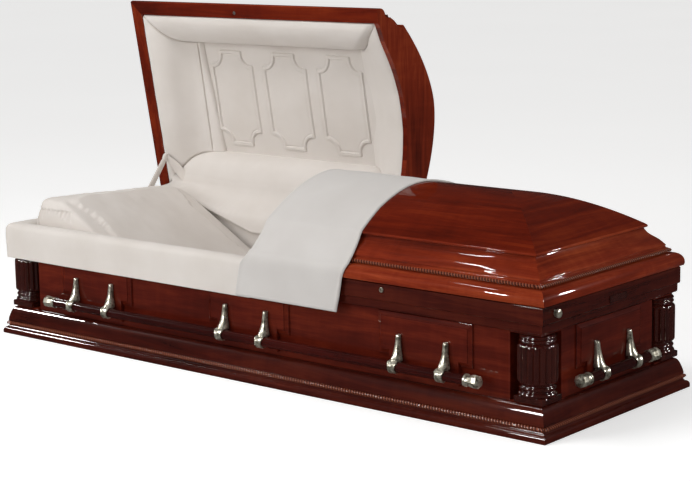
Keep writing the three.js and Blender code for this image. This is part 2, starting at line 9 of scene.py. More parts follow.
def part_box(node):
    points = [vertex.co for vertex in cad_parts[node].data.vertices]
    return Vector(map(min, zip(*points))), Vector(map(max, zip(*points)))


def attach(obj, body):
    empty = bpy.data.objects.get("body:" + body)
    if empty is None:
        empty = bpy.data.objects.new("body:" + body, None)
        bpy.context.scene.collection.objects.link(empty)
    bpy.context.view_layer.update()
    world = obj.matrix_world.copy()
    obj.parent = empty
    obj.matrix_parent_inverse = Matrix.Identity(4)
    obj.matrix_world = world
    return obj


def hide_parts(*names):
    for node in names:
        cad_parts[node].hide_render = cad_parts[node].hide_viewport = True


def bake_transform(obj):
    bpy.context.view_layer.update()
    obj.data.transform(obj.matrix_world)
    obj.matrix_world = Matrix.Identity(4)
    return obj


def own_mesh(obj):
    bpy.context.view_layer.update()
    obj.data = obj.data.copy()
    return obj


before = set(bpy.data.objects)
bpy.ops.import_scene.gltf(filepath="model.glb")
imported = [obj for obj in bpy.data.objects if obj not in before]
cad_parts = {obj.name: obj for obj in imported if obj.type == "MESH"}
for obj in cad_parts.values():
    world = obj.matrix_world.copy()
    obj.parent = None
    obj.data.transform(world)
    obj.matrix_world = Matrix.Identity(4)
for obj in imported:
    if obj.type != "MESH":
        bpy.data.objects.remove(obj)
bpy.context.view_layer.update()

# The casket's own sizes, in metres, as its solids have them
HALF_L, HALF_W = 1.067, 0.364
BASE_TOP = 0.087
RIM_BOTTOM, RIM_TOP = 0.2755, 0.349
LID_BOTTOM = 0.353
CROWN_EDGE, CROWN_RISE, CROWN_INSET = 0.471, 0.107, 0.091
CROWN_RUN = HALF_W - CROWN_INSET
CUT, CUT_GAP, HEADER = 0.038, 0.004, 0.018
HINGE = Vector((0, HALF_W - 0.007, RIM_TOP))
LID_OPEN = math.radians(80.2)
BAR_INSET, BAR_Z, BAR_RADIUS = 0.010, 0.130, 0.0145
BLOCK_FACE = 0.034
PAIRS = (-0.650, 0, 0.650)
ARM_HALF_SPREAD = 0.080
COLUMN_INSET = 0.072
ROPE_PITCH = 0.0095

LONG_SIDES = ("front", "back")
SIDES = ("front", "back", "head", "foot")


# ---------------------------------------------------------------- small joinery helpers

def mm(points):
    return [tuple(c * 0.001 for c in p) for p in points]


def along(table, x):
    """The value at x, in straight steps between the table's rows."""
    if x <= table[0][0]:
        return table[0][1]
    for (x0, y0), (x1, y1) in zip(table, table[1:]):
        if x <= x1:
            return y0 + (y1 - y0) * (x - x0) / (x1 - x0)
    return table[-1][1]


def ease(t):
    t = min(max(t, 0.0), 1.0)
    return t * t * (3 - 2 * t)


def flow(points, steps=4, closed=False):
    """A smooth line through the points."""
    n = len(points)
    spans = n if closed else n - 1
    line = []
    for k in range(spans):
        a, b, c, d = (points[(k + q) % n] if closed else points[min(max(k + q, 0), n - 1)] for q in (-1, 0, 1, 2))
        for s in range(steps):
            t = s / steps
            line.append(tuple(0.5 * (2 * q + (r - p) * t + (2 * p - 5 * q + 4 * r - w) * t * t
                                     + (3 * q - p - 3 * r + w) * t ** 3) for p, q, r, w in zip(a, b, c, d)))
    if not closed:
        line.append(tuple(points[-1]))
    return line


def arris(points, radius, closed=True, least=22):
    """Takes the sharpness off each corner of a section, as sanding and lacquer do."""
    out = []
    n = len(points)
    for k, p in enumerate(points):
        if not closed and k in (0, n - 1):
            out.append(p)
            continue
        b = Vector(p)
        a, c = Vector(points[k - 1]), Vector(points[(k + 1) % n])
        before, after = a - b, c - b
        if min(before.length, after.length) < 1e-7 or math.degrees(math.pi - before.angle(after)) < least:
            out.append(p)
            continue
        start = b + before.normalized() * min(radius, before.length * 0.4)
        stop = b + after.normalized() * min(radius, after.length * 0.4)
        out += [tuple(start), tuple((start + stop) / 4 + b / 2), tuple(stop)]
    return out


def on_side(side, inset, z, s):
    """A point by its distance in from the base's edge, its height, and its place along that side."""
    if side == "front":
        return Vector((s, inset - HALF_W, z))
    if side == "back":
        return Vector((s, HALF_W - inset, z))
    if side == "head":
        return Vector((inset - HALF_L, s, z))
    return Vector((HALF_L - inset, s, z))


def reach(side):
    return HALF_L if side in LONG_SIDES else HALF_W


def grid(bm, across, lengthwise, place, finish=0):
    """A create_grid sheet with each corner set by place(i, j)."""
    made = bmesh.ops.create_grid(bm, x_segments=across, y_segments=lengthwise, size=1)["verts"]
    rows = {}
    for v in made:
        i, j = round((v.co.x + 1) / 2 * across), round((v.co.y + 1) / 2 * lengthwise)
        rows[i, j] = v
    for (i, j), v in rows.items():
        v.co = place(i, j)
    if finish:
        for face in {f for v in made for f in v.link_faces}:
            face.material_index = finish
    return rows


def close_up(bm, merge=1e-5):
    bmesh.ops.remove_doubles(bm, verts=bm.verts, dist=merge)
    edges = [e for e in bm.edges if e.is_boundary]
    if edges:
        bmesh.ops.holes_fill(bm, edges=edges, sides=0)
    bmesh.ops.recalc_face_normals(bm, faces=bm.faces)


def ring_run(bm, section, lengthwise, place, finish=0):
    """A closed section carried along a run; place(k, j) sets point k of the section at step j."""
    n = len(section)
    return grid(bm, n, lengthwise, lambda i, j: place(i % n, j), finish)


def box(bm, x0, x1, y0, y1, z0, z1, soften=0.0, steps=2):
    cube = bmesh.ops.create_cube(bm, size=1)["verts"]
    bmesh.ops.scale(bm, vec=(x1 - x0, y1 - y0, z1 - z0), verts=cube)
    bmesh.ops.translate(bm, vec=((x0 + x1) / 2, (y0 + y1) / 2, (z0 + z1) / 2), verts=cube)
    if soften:
        edges = list({e for v in cube for e in v.link_edges})
        bmesh.ops.bevel(bm, geom=edges, offset=soften, segments=steps, profile=0.5, affect="EDGES", material=-1)


def turned(bm, profile, steps, place):
    """A lathe-turned form: (radius, height) points spun full round, each point then set by place(x, y, z)."""
    verts = [bm.verts.new((r, 0, z)) for r, z in profile]
    edges = [bm.edges.new(pair) for pair in zip(verts, verts[1:])]
    bmesh.ops.spin(bm, geom=verts + edges, cent=(0, 0, 0), axis=(0, 0, 1), dvec=(0, 0, 0),
                   angle=math.tau, steps=steps, use_merge=True)
    bmesh.ops.remove_doubles(bm, verts=bm.verts, dist=1e-6)
    for v in bm.verts:
        v.co = place(*v.co)


def swing_open(bm):
    """Turns a lid piece, made as if shut, up about the hinge line at the back."""
    bmesh.ops.rotate(bm, cent=HINGE, matrix=Matrix.Rotation(-LID_OPEN, 3, "X"), verts=bm.verts)


def piece(name, bm, body, finishes, stands_for=(), crease=30):
    mesh = bpy.data.meshes.new(name)
    bm.to_mesh(mesh)
    bm.free()
    mesh.polygons.foreach_set("use_smooth", [True] * len(mesh.polygons))
    mesh.set_sharp_from_angle(angle=math.radians(crease))
    for finish in finishes if isinstance(finishes, (list, tuple)) else [finishes]:
        mesh.materials.append(finish)
    obj = bpy.data.objects.new(name, mesh)
    bpy.context.scene.collection.objects.link(obj)
    if body:
        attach(obj, body)
    if stands_for:
        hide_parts(*([stands_for] if isinstance(stands_for, str) else stands_for))
    return obj


# ---------------------------------------------------------------- materials

def socket(tree, name, kind, way, value=None):
    made = tree.interface.new_socket(name, in_out=way, socket_type=kind)
    if value is not None:
        made.default_value = value


def node(tree, kind, **settings):
    made = tree.nodes.new(kind)
    for key, value in settings.items():
        if key in made.inputs:
            made.inputs[key].default_value = value
        else:
            setattr(made, key, value)
    return made


def stretched_noise(tree, vector, scale, **settings):
    mapping = node(tree, "ShaderNodeMapping", Scale=scale)
    tree.links.new(vector, mapping.inputs["Vector"])
    texture = node(tree, "ShaderNodeTexNoise", **settings)
    tree.links.new(mapping.outputs["Vector"], texture.inputs["Vector"])
    return texture.outputs["Fac"]


def sum_of(tree, *terms):
    """Adds up (value, share) terms."""
    total = None
    for value, share in terms:
        part = node(tree, "ShaderNodeMath", operation="MULTIPLY_ADD")
        tree.links.new(value, part.inputs[0])
        part.inputs[1].default_value = share
        if total is None:
            part.inputs[2].default_value = 0.0
        else:
            tree.links.new(total, part.inputs[2])
        total = part.outputs[0]
    return total


def wood_figure_group():
    """Grain along X: broad streaks, cross mottle and fine pores."""
    tree = bpy.data.node_groups.new("wood_figure", "ShaderNodeTree")
    socket(tree, "Vector", "NodeSocketVector", "INPUT")
    socket(tree, "Figure", "NodeSocketFloat", "OUTPUT")
    socket(tree, "Pores", "NodeSocketFloat", "OUTPUT")
    inside, out = node(tree, "NodeGroupInput"), node(tree, "NodeGroupOutput")
    vector = inside.outputs["Vector"]
    streaks = stretched_noise(tree, vector, (1.3, 15, 15), Scale=2.2, Detail=5, Roughness=0.6, Distortion=0.7)
    bands = stretched_noise(tree, vector, (0.8, 3.5, 3.5), Scale=1.9, Detail=2, Roughness=0.5, Distortion=0.4)
    mottle = stretched_noise(tree, vector, (22, 4, 4), Scale=1.6, Detail=2, Roughness=0.5, Distortion=0.8)
    fibres = stretched_noise(tree, vector, (7, 190, 190), Scale=2.0, Detail=2, Roughness=0.6, Distortion=0.1)
    toning = stretched_noise(tree, vector, (1, 1.6, 1.6), Scale=1.7, Detail=2, Roughness=0.5)
    figure = sum_of(tree, (streaks, 0.40), (bands, 0.26), (mottle, 0.07), (fibres, 0.11), (toning, 0.20))
    tree.links.new(figure, out.inputs["Figure"])
    tree.links.new(fibres, out.inputs["Pores"])
    return tree


def cloth_weave_group():
    """Fine crepe: a crossed thread relief and slow uneven tone."""
    tree = bpy.data.node_groups.new("cloth_weave", "ShaderNodeTree")
    socket(tree, "Vector", "NodeSocketVector", "INPUT")
    socket(tree, "Tone", "NodeSocketFloat", "OUTPUT")
    socket(tree, "Relief", "NodeSocketFloat", "OUTPUT")
    inside, out = node(tree, "NodeGroupInput"), node(tree, "NodeGroupOutput")
    vector = inside.outputs["Vector"]
    tone = stretched_noise(tree, vector, (1, 1, 1), Scale=5.5, Detail=3, Roughness=0.55)
    crepe = stretched_noise(tree, vector, (1, 1, 2.2), Scale=260, Detail=3, Roughness=0.65)
    rumple = stretched_noise(tree, vector, (1, 1, 1), Scale=16, Detail=4, Roughness=0.5, Distortion=0.3)
    tree.links.new(tone, out.inputs["Tone"])
    tree.links.new(sum_of(tree, (crepe, 0.35), (rumple, 0.65)), out.inputs["Relief"])
    return tree


wood_figure, cloth_weave = wood_figure_group(), cloth_weave_group()
GRAIN = {"x": (0, 0, 0), "y": (0, 0, math.pi / 2), "z": (0, math.pi / 2, 0)}


def material(name):
    made = bpy.data.materials.new(name)
    made.use_nodes = True
    shader = made.node_tree.nodes["Principled BSDF"]
    return made, made.node_tree, shader


def ramp(tree, value, *stops):
    made = node(tree, "ShaderNodeValToRGB")
    while len(made.color_ramp.elements) < len(stops):
        made.color_ramp.elements.new(0.5)
    for element, (place, colour) in zip(made.color_ramp.elements, stops):
        element.position, element.color = place, (*colour, 1)
    tree.links.new(value, made.inputs["Fac"])
    return made.outputs["Color"]


def bump(tree, shader, height, distance, strength=0.5):
    made = node(tree, "ShaderNodeBump", Distance=distance, Strength=strength)
    tree.links.new(height, made.inputs["Height"])
    tree.links.new(made.outputs["Normal"], shader.inputs["Normal"])


def lacquered(name, grain, deep, mid, bright, rough=0.34, coat=0.03, coat_ior=1.5):
    made, tree, shader = material(name)
    place = node(tree, "ShaderNodeTexCoord")
    turn = node(tree, "ShaderNodeMapping", Rotation=GRAIN[grain])
    figure = node(tree, "ShaderNodeGroup", node_tree=wood_figure)
    tree.links.new(place.outputs["Object"], turn.inputs["Vector"])
    tree.links.new(turn.outputs["Vector"], figure.inputs["Vector"])
    colour = ramp(tree, figure.outputs["Figure"], (0.34, deep), (0.52, mid), (0.72, bright))
    tree.links.new(colour, shader.inputs["Base Color"])
    bump(tree, shader, figure.outputs["Pores"], 0.00012, 0.35)
    shader.inputs["Roughness"].default_value = rough
    shader.inputs["Specular IOR Level"].default_value = 0.02
    shader.inputs["Coat Weight"].default_value = 0.85
    shader.inputs["Coat Roughness"].default_value = coat
    shader.inputs["Coat IOR"].default_value = coat_ior
    return made


def rope_painted_shade_finish():
    """Painted shade and painted highlight: dark between the strands, light on their crowns, read from the strand's
    swell.
    """
    made, tree, shader = material("rope_cherry")
    swell = node(tree, "ShaderNodeAttribute", attribute_name="swell")
    colour = ramp(tree, swell.outputs["Fac"], (0.15, (0.009, 0.0014, 0.0009)), (0.55, (0.072, 0.0100, 0.0040)),
                  (1.0, (0.30, 0.085, 0.042)))
    tree.links.new(colour, shader.inputs["Base Color"])
    shader.inputs["Roughness"].default_value = 0.42
    shader.inputs["Specular IOR Level"].default_value = 0.05
    shader.inputs["Coat Weight"].default_value = 0.8
    shader.inputs["Coat Roughness"].default_value = 0.12
    return made


def fabric(name, shade, light, sheen=0.25, relief=0.0009):
    made, tree, shader = material(name)
    place = node(tree, "ShaderNodeTexCoord")
    weave = node(tree, "ShaderNodeGroup", node_tree=cloth_weave)
    tree.links.new(place.outputs["Object"], weave.inputs["Vector"])
    tree.links.new(ramp(tree, weave.outputs["Tone"], (0.3, shade), (0.7, light)), shader.inputs["Base Color"])
    bump(tree, shader, weave.outputs["Relief"], relief, 0.6)
    shader.inputs["Roughness"].default_value = 0.82
    shader.inputs["Sheen Weight"].default_value = sheen
    shader.inputs["Sheen Roughness"].default_value = 0.5
    shader.inputs["Specular IOR Level"].default_value = 0.25
    return made


def cast(name, dark, light, rough):
    made, tree, shader = material(name)
    place = node(tree, "ShaderNodeTexCoord")
    patina = stretched_noise(tree, place.outputs["Object"], (1, 1, 1), Scale=85, Detail=4, Roughness=0.6)
    tree.links.new(ramp(tree, patina, (0.35, dark), (0.62, light)), shader.inputs["Base Color"])
    worn = node(tree, "ShaderNodeMapRange")
    worn.inputs["To Min"].default_value, worn.inputs["To Max"].default_value = rough + 0.12, rough - 0.06
    tree.links.new(patina, worn.inputs["Value"])
    tree.links.new(worn.outputs["Result"], shader.inputs["Roughness"])
    bump(tree, shader, patina, 0.0004, 0.3)
    shader.inputs["Metallic"].default_value = 0.7
    return made


BODY_TONES = ((0.022, 0.0021, 0.0013), (0.092, 0.0096, 0.0044), (0.200, 0.026, 0.0090))
# darker tones for the plinth and rim mouldings, painted shade
BASE_SHADED_TONES = ((0.014, 0.0018, 0.0013), (0.056, 0.0072, 0.0040), (0.128, 0.020, 0.0085))
LID_TONES = ((0.034, 0.0026, 0.0010), (0.130, 0.0105, 0.0022), (0.270, 0.034, 0.0060))
# lighter tones for the lid mouldings, painted light
MOULD_LIT_TONES = ((0.050, 0.0046, 0.0018), (0.205, 0.0225, 0.0068), (0.420, 0.074, 0.0210))
DARK_TONES = ((0.012, 0.0020, 0.0013), (0.036, 0.0052, 0.0032), (0.080, 0.0125, 0.0070))
cherry = {grain: lacquered(f"cherry_{grain}", grain, *BODY_TONES) for grain in GRAIN}
base_shaded_cherry = {grain: lacquered(f"base_shaded_cherry_{grain}", grain, *BASE_SHADED_TONES) for grain in "xy"}
lid_cherry = {grain: lacquered(f"lid_cherry_{grain}", grain, *LID_TONES) for grain in "xyz"}
mould_lit_cherry = {grain: lacquered(f"mould_lit_cherry_{grain}", grain, *MOULD_LIT_TONES) for grain in "xyz"}
column_cherry = lacquered("column_cherry", "z", *DARK_TONES, coat=0.02, coat_ior=1.9)
rope_cherry = rope_painted_shade_finish()
bar_cherry = {grain: lacquered(f"bar_cherry_{grain}", grain, (0.012, 0.0016, 0.0016), (0.030, 0.0036, 0.0028),
                               (0.07, 0.0080, 0.0052), 0.25, 0.03) for grain in "xy"}
pewter = cast("antique_pewter", (0.12, 0.106, 0.074), (0.78, 0.74, 0.61), 0.26)
dull_metal = cast("dull_steel", (0.05, 0.04, 0.035), (0.20, 0.17, 0.15), 0.45)
ivory = fabric("ivory_crepe", (0.655, 0.603, 0.556), (0.712, 0.664, 0.622))
ivory_velvet = fabric("ivory_velvet", (0.676, 0.626, 0.580), (0.728, 0.681, 0.640), sheen=0.3, relief=0.0006)
throw_cloth = fabric("throw_crepe", (0.592, 0.562, 0.538), (0.634, 0.607, 0.584), sheen=0.15, relief=0.0005)


# ---------------------------------------------------------------- body: mouldings, walls, columns

BASE_SECTION = arris(
    mm([(1, 0), (1, 7)]) + flow(mm([(1, 7.5), (1.8, 12), (4, 16.5), (8, 19.4), (11, 20.5)]), 3)
    + mm([(13.5, 23), (15, 26), (15, 40.5)]) + flow(mm([(14, 41.5), (15, 48), (17, 56), (20, 66), (24, 76), (29, 83.5),
                                                      (34, 86.6), (38, 87)]), 3) + mm([(72, 87), (72, 0)]), 0.0012)
RIM_SECTION = arris(
    mm([(70, 275.5), (38.7, 275.5)]) + flow(mm([(37, 275.8), (33, 277), (30.3, 279.4), (29.5, 283)]), 3)
    + mm([(29.5, 300.6)]) + flow(mm([(28, 301.4), (25.6, 302.6), (24, 305)]), 3)
    + mm([(24, 347.4), (25.6, 349), (70, 349)]), 0.0012)


def moulding(name, section, side, finish, stands_for):
    bm = bmesh.new()

    def place(k, j):
        inset, z = section[k]
        return on_side(side, inset, z, (2 * j - 1) * (reach(side) - inset))

    ring_run(bm, section, 1, place)
    close_up(bm)
    return piece(name, bm, "casket_body", finish, stands_for)


def rope(bm, side, inset, z, radius, start, stop, squeeze=1.0):
    """Carved rope: a strand whose swellings slant round it."""
    around, stations = 8, max(2, round(abs(stop - start) / 0.0014))
    depth = bm.verts.layers.float.get("swell") or bm.verts.layers.float.new("swell")
    marks = {}

    def place(i, j):
        turn = math.tau * (i % around) / around
        s = start + (stop - start) * j / stations
        swell = abs(math.cos(math.pi * s / ROPE_PITCH + turn / 2)) ** 0.8
        marks[i, j] = swell
        r = radius * (0.58 + 0.42 * swell)
        out, up = r * math.cos(turn) * squeeze, r * math.sin(turn)
        here = inset - out
        full = reach(side) - inset
        lean = (reach(side) - here) / full if abs(abs(s) - full) < 0.02 else 1.0
        return on_side(side, here, z + up, s * lean)

    # the swell stored on each point drives the rope's painted shade between strands and painted highlight on crowns
    for key, v in grid(bm, around, stations, place).items():
        v[depth] = marks[key]
    close_up(bm, 1e-6)


def body_ropes():
    for side in SIDES:
        bm = bmesh.new()
        end = reach(side) - 0.0145
        rope(bm, side, 0.0140, 0.0335, 0.0058, -end, end)
        piece(f"base_rope_{side}", bm, "casket_body", rope_cherry)


for side in SIDES:
    grain = "x" if side in LONG_SIDES else "y"
    # plinth and rim take the darker base tones as painted shade
    moulding(f"plinth_{side}", BASE_SECTION, side, base_shaded_cherry[grain], f"base_moulding_{side}")
    moulding(f"rim_{side}", RIM_SECTION, side, base_shaded_cherry[grain], f"rim_moulding_{side}")
    node_name = ("side_wall_" if side in LONG_SIDES else "end_wall_") + side
    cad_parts[node_name].data.materials.clear()
    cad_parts[node_name].data.materials.append(cherry[grain])
body_ropes()

PANEL_HALF, PANEL_LOW, PANEL_HIGH = 0.160, 0.153, 0.274
PANEL_PROFILE = flow(mm([(0, 0), (0.2, 2.2), (1.6, 4.3), (3.6, 4.9), (5.2, 4.2), (6, 4.4)]), 2) + mm([
    (9.5, 6.9), (13.6, 9.0), (14, 10.2), (15.4, 10.8)])
PANEL_SHADED_STEPS = (0, 1, 2, 3, 8, 9, 12)  # steps of the profile darkened as painted shade in the grooves


def fielded_panels(side, centres, half):
    """A beaded, bevelled and raised field on each panel of a wall."""
    bm = bmesh.new()
    for centre in centres:
        loops = PANEL_PROFILE
        edge = [(-half, PANEL_LOW), (half, PANEL_LOW), (half, PANEL_HIGH), (-half, PANEL_HIGH)]

        def place(i, j):
            inward, rise = loops[i]
            s, z = edge[j % 4]
            s -= math.copysign(inward, s)
            z += inward if z == PANEL_LOW else -inward
            return on_side(side, 0.045 - rise, z, centre + s)

        rows = grid(bm, len(loops) - 1, 4, place)
        step_of = {v: i for (i, _), v in rows.items()}
        # faces in these steps take the dark bar finish as painted shade
        for face in {f for v in step_of for f in v.link_faces}:
            if min(step_of[v] for v in face.verts) in PANEL_SHADED_STEPS:
                face.material_index = 1
    close_up(bm)
    grain = "x" if side in LONG_SIDES else "y"
    return piece(f"fielded_panels_{side}", bm, "casket_body", [cherry[grain], bar_cherry[grain]], crease=20)


for side in LONG_SIDES:
    fielded_panels(side, PAIRS, PANEL_HALF)
for side in ("head", "foot"):
    fielded_panels(side, (0,), 0.160)

PLINTH_LOW = 0.0915
COLUMN_PROFILE = mm([(0, 107), (43.5, 107)]) + flow(mm([(46.5, 108), (48.3, 111), (48.6, 115), (47, 118.5), (44, 120.5)]), 3) \
    + flow(mm([(42.8, 122), (42.6, 124), (44.6, 126), (46.2, 129), (46, 132.5), (44, 135), (42, 136.5), (41.6, 139.5)]), 3) \
    + flow(mm([(43.5, 141.5), (47, 144), (49.3, 148), (50, 153), (50, 170), (50, 194.5), (50, 219), (50, 236),
               (49.3, 241), (47, 245), (43.5, 247.5)]), 3) \
    + flow(mm([(41.8, 249.5), (42.4, 251.5), (45, 253.5), (46, 256), (45, 258.5), (43, 260.2), (42.4, 262), (43.4, 263.6),
               (45.4, 264.8), (45.8, 266.4), (44.6, 268.4), (42, 270)]), 3) + mm([(39.6, 270.9), (0, 270.9)])
REED_LOW, REED_HIGH = 0.1435, 0.2455
REEDS = 18


def column(end, side):
    bm = bmesh.new()
    cx = (HALF_L - COLUMN_INSET) * (1 if end == "foot" else -1)
    cy = (HALF_W - COLUMN_INSET) * (1 if side == "back" else -1)

    def place(x, y, z):
        x, y = x * 1.07, y * 1.07
        r = math.hypot(x, y)
        if REED_LOW < z < REED_HIGH and r > 1e-6:
            turn = math.atan2(y, x)
            depth = 0.0050 * ease((z - REED_LOW) / 0.008) * ease((REED_HIGH - z) / 0.008)
            k = 1 - depth * (1 - abs(math.cos(REEDS * turn / 2)) ** 0.8) / r
            x, y = x * k, y * k
        return Vector((cx + x, cy + y, z))

    turned(bm, COLUMN_PROFILE, 144, place)
    box(bm, cx - 0.045, cx + 0.045, cy - 0.045, cy + 0.045, PLINTH_LOW, 0.1086, 0.0018)
    bmesh.ops.recalc_face_normals(bm, faces=bm.faces)
    piece(f"reeded_column_{end}_{side}", bm, "casket_body", column_cherry, f"column_{end}_{side}", crease=50)


for end in ("head", "foot"):
    for side in LONG_SIDES:
        column(end, side)


# ---------------------------------------------------------------- handles

def bar(side, half):
    bm = bmesh.new()
    profile = mm([(0, 0)]) + [(BAR_RADIUS - 0.0012, 0)] + [(BAR_RADIUS, 0.0012)] + [(BAR_RADIUS, 2 * half - 0.0012)] \
        + [(BAR_RADIUS - 0.0012, 2 * half)] + [(0, 2 * half)]
    turned(bm, profile, 40, lambda x, y, z: on_side(side, BAR_INSET + x, BAR_Z + y, z - half))
    bmesh.ops.recalc_face_normals(bm, faces=bm.faces)
    piece(f"round_bar_{side}", bm, "casket_body", bar_cherry["x" if side in LONG_SIDES else "y"],
          f"handle_bar_{side}")


TIP_PROFILE = mm([(0, 0), (15.6, 0), (17.2, 1.2), (17.4, 4), (17, 7), (14.6, 9), (13.9, 12), (15.2, 18), (17.2, 25), (17.9, 30),
                  (17.7, 38), (16.9, 43), (13, 47), (8.6, 49.4), (7.6, 50), (0, 50)])


def tip(side, end, sign, half):
    """Cast end cap: a round collar that becomes an eight-sided barrel."""
    bm = bmesh.new()

    def place(x, y, z):
        r, turn = math.hypot(x, y), math.atan2(y, x)
        if z > 0.009 and r > 1e-6:
            facet = math.cos(math.pi / 8) / math.cos((turn % (math.pi / 4)) - math.pi / 8)
            k = 1 + (facet * 1.035 - 1) * ease((z - 0.009) / 0.004)
            x, y = x * k, y * k
        return on_side(side, BAR_INSET + y, BAR_Z + x, sign * (half + 0.0003 + z))

    turned(bm, TIP_PROFILE, 48, place)
    bmesh.ops.recalc_face_normals(bm, faces=bm.faces)
    piece(f"cast_tip_{side}_{end}", bm, "casket_body", pewter, f"bar_tip_{side}_{end}", crease=16)


NECK = [  # height, half width, how far out the front stands
    (0.2160, 0.0052, 0.0098), (0.2150, 0.0066, 0.0116), (0.2105, 0.0068, 0.0134), (0.203, 0.0067, 0.0146),
    (0.194, 0.0070, 0.0162), (0.184, 0.0078, 0.0182), (0.174, 0.0092, 0.0212), (0.165, 0.0112, 0.0242),
    (0.157, 0.0132, 0.0276), (0.151, 0.0146, 0.0310), (0.1475, 0.0150, 0.0335), (0.144, 0.0138, 0.0325)]
RING_WIDTH = [(-180, 0.0100), (-120, 0.0092), (-95, 0.0078), (-60, 0.0112), (-30, 0.0112), (0, 0.0112), (18, 0.0118),
              (38, 0.0146), (52, 0.0150), (75, 0.0135), (120, 0.0110), (180, 0.0100)]


def cast_arm(side, number, centre):
    """Bottle-necked arm on the handle block, ending in a band round the bar."""
    bm = bmesh.new()
    around = 16
    neck = flow(NECK, 3)

    def on_block(out, z, s):
        return on_side(side, BLOCK_FACE - out, z, centre + s)

    def neck_place(i, j):
        turn = math.tau * (i % around) / around
        z, half, front = neck[j]
        c, s = math.cos(turn), math.sin(turn)
        shape = 0.55 if c > 0 else 0.25
        out = front / 2 + front / 2 * math.copysign(abs(c) ** (2 * shape), c)
        return on_block(max(out, 0.0003), z, half * math.copysign(abs(s) ** 0.8, s))

    grid(bm, around, len(neck) - 1, neck_place)
    close_up(bm, 1e-6)
    band = [(-1, 0.0), (-1, 0.0030), (-0.86, 0.0038), (-0.66, 0.0030), (0, 0.0027), (0.66, 0.0030), (0.86, 0.0038),
            (1, 0.0030), (1, 0.0)]
    inner = BAR_RADIUS + 0.0012
    out_of_block = BLOCK_FACE - BAR_INSET
    turns = 40

    def band_place(k, j):
        degrees = -180 + 360 * (j % turns) / turns
        share, rise = band[k]
        angle = math.radians(degrees)
        r = inner + rise
        return on_block(out_of_block + r * math.cos(angle), BAR_Z + r * math.sin(angle), share * along(RING_WIDTH, degrees))

    ring_run(bm, band, turns, band_place)
    bmesh.ops.remove_doubles(bm, verts=bm.verts, dist=1e-6)
    bmesh.ops.recalc_face_normals(bm, faces=bm.faces)
    piece(f"cast_arm_{side}_{number}", bm, "casket_body", pewter, f"handle_arm_{side}_{number}", crease=38)


for side in SIDES:
    half = HALF_L - 0.259 if side in LONG_SIDES else HALF_W - 0.217
    bar(side, half)
    for end, sign in zip(("head", "foot") if side in LONG_SIDES else ("front", "back"), (-1, 1)):
        tip(side, end, sign, half)
    pairs = PAIRS if side in LONG_SIDES else (0,)
    for number, centre in enumerate(p + q * ARM_HALF_SPREAD for p in pairs for q in (-1, 1)):
        cast_arm(side, number + 1, centre)


# ---------------------------------------------------------------- small fittings

def frieze_knob(name, side, centre, z, profile, steps, finish, stands_for):
    bm = bmesh.new()
    turned(bm, mm(profile), steps, lambda x, y, h: on_side(side, 0.0237 - h, z + x, centre + y))
    bmesh.ops.recalc_face_normals(bm, faces=bm.faces)
    piece(name, bm, "casket_body", finish, stands_for, crease=25)


frieze_knob("tube_cap", "foot", 0.081 - HALF_W, RIM_TOP - 0.021,
            [(0, 0), (8.2, 0), (9, 0.8), (9, 4.2), (9.6, 5.2), (11.2, 6.4), (11.6, 8), (11.6, 11.6), (10.6, 13.4), (7.2, 15.4),
             (4.6, 16), (0, 16)], 14, pewter, "record_tube_cap")
frieze_knob("lock_rose", "front", CUT + 0.479, RIM_TOP - 0.016,
            [(0, 0), (6.6, 0), (7, 0.5), (7, 2.2), (6.2, 3), (4.6, 3), (3.8, 2.2), (3.6, 0.8), (0, 0.8)], 24, pewter, "key_lock")


def bare_plate():
    bm = bmesh.new()
    low, high, y0, y1 = RIM_TOP - 0.041, RIM_TOP - 0.022, -0.027, 0.057
    face = bmesh.ops.create_grid(bm, x_segments=1, y_segments=1, size=0.5)["verts"]
    for v in face:
        v.co = Vector((HALF_L - 0.0237, y0 + (v.co.x + 0.5) * (y1 - y0), low + (v.co.y + 0.5) * (high - low)))
    out = bmesh.ops.extrude_face_region(bm, geom=bm.faces[:])["geom"]
    bmesh.ops.translate(bm, vec=(0.0015, 0, 0), verts=[g for g in out if isinstance(g, bmesh.types.BMVert)])
    front = [g for g in out if isinstance(g, bmesh.types.BMFace)]
    bmesh.ops.inset_region(bm, faces=front, thickness=0.0016, depth=0.0)
    bmesh.ops.inset_region(bm, faces=front, thickness=0.0009, depth=-0.0008)
    bmesh.ops.recalc_face_normals(bm, faces=bm.faces)
    piece("bare_name_plate", bm, "casket_body", column_cherry, "name_plate", crease=20)


bare_plate()


def piano_hinge():
    """Knuckles along the hinge line and the leaf on the rim."""
    bm = bmesh.new()
    pitch, count = 0.040, 47
    start = -count * pitch / 2
    profile = [(0, 0)]
    for k in range(count):
        z = k * pitch
        profile += [(0.0026, z), (0.0035, z + 0.0006), (0.0035, z + pitch - 0.0012), (0.0026, z + pitch - 0.0006)]
    profile += [(0, count * pitch)]
    turned(bm, profile, 12, lambda x, y, z: Vector((start + z, HINGE.y + x, HINGE.z + y)))
    box(bm, 0.119 - HALF_L, HALF_L - 0.119, HALF_W - 0.052, HINGE.y - 0.001, RIM_TOP + 0.0003, RIM_TOP + 0.0013)
    bmesh.ops.recalc_face_normals(bm, faces=bm.faces)
    piece("piano_hinge", bm, "casket_body", pewter, "hinge_rod", crease=40)


piano_hinge()


# ---------------------------------------------------------------- lids

def crown_at(d):
    return CROWN_EDGE + CROWN_RISE * (1 - (1 - min(d, CROWN_RUN) / CROWN_RUN) ** 1.75)


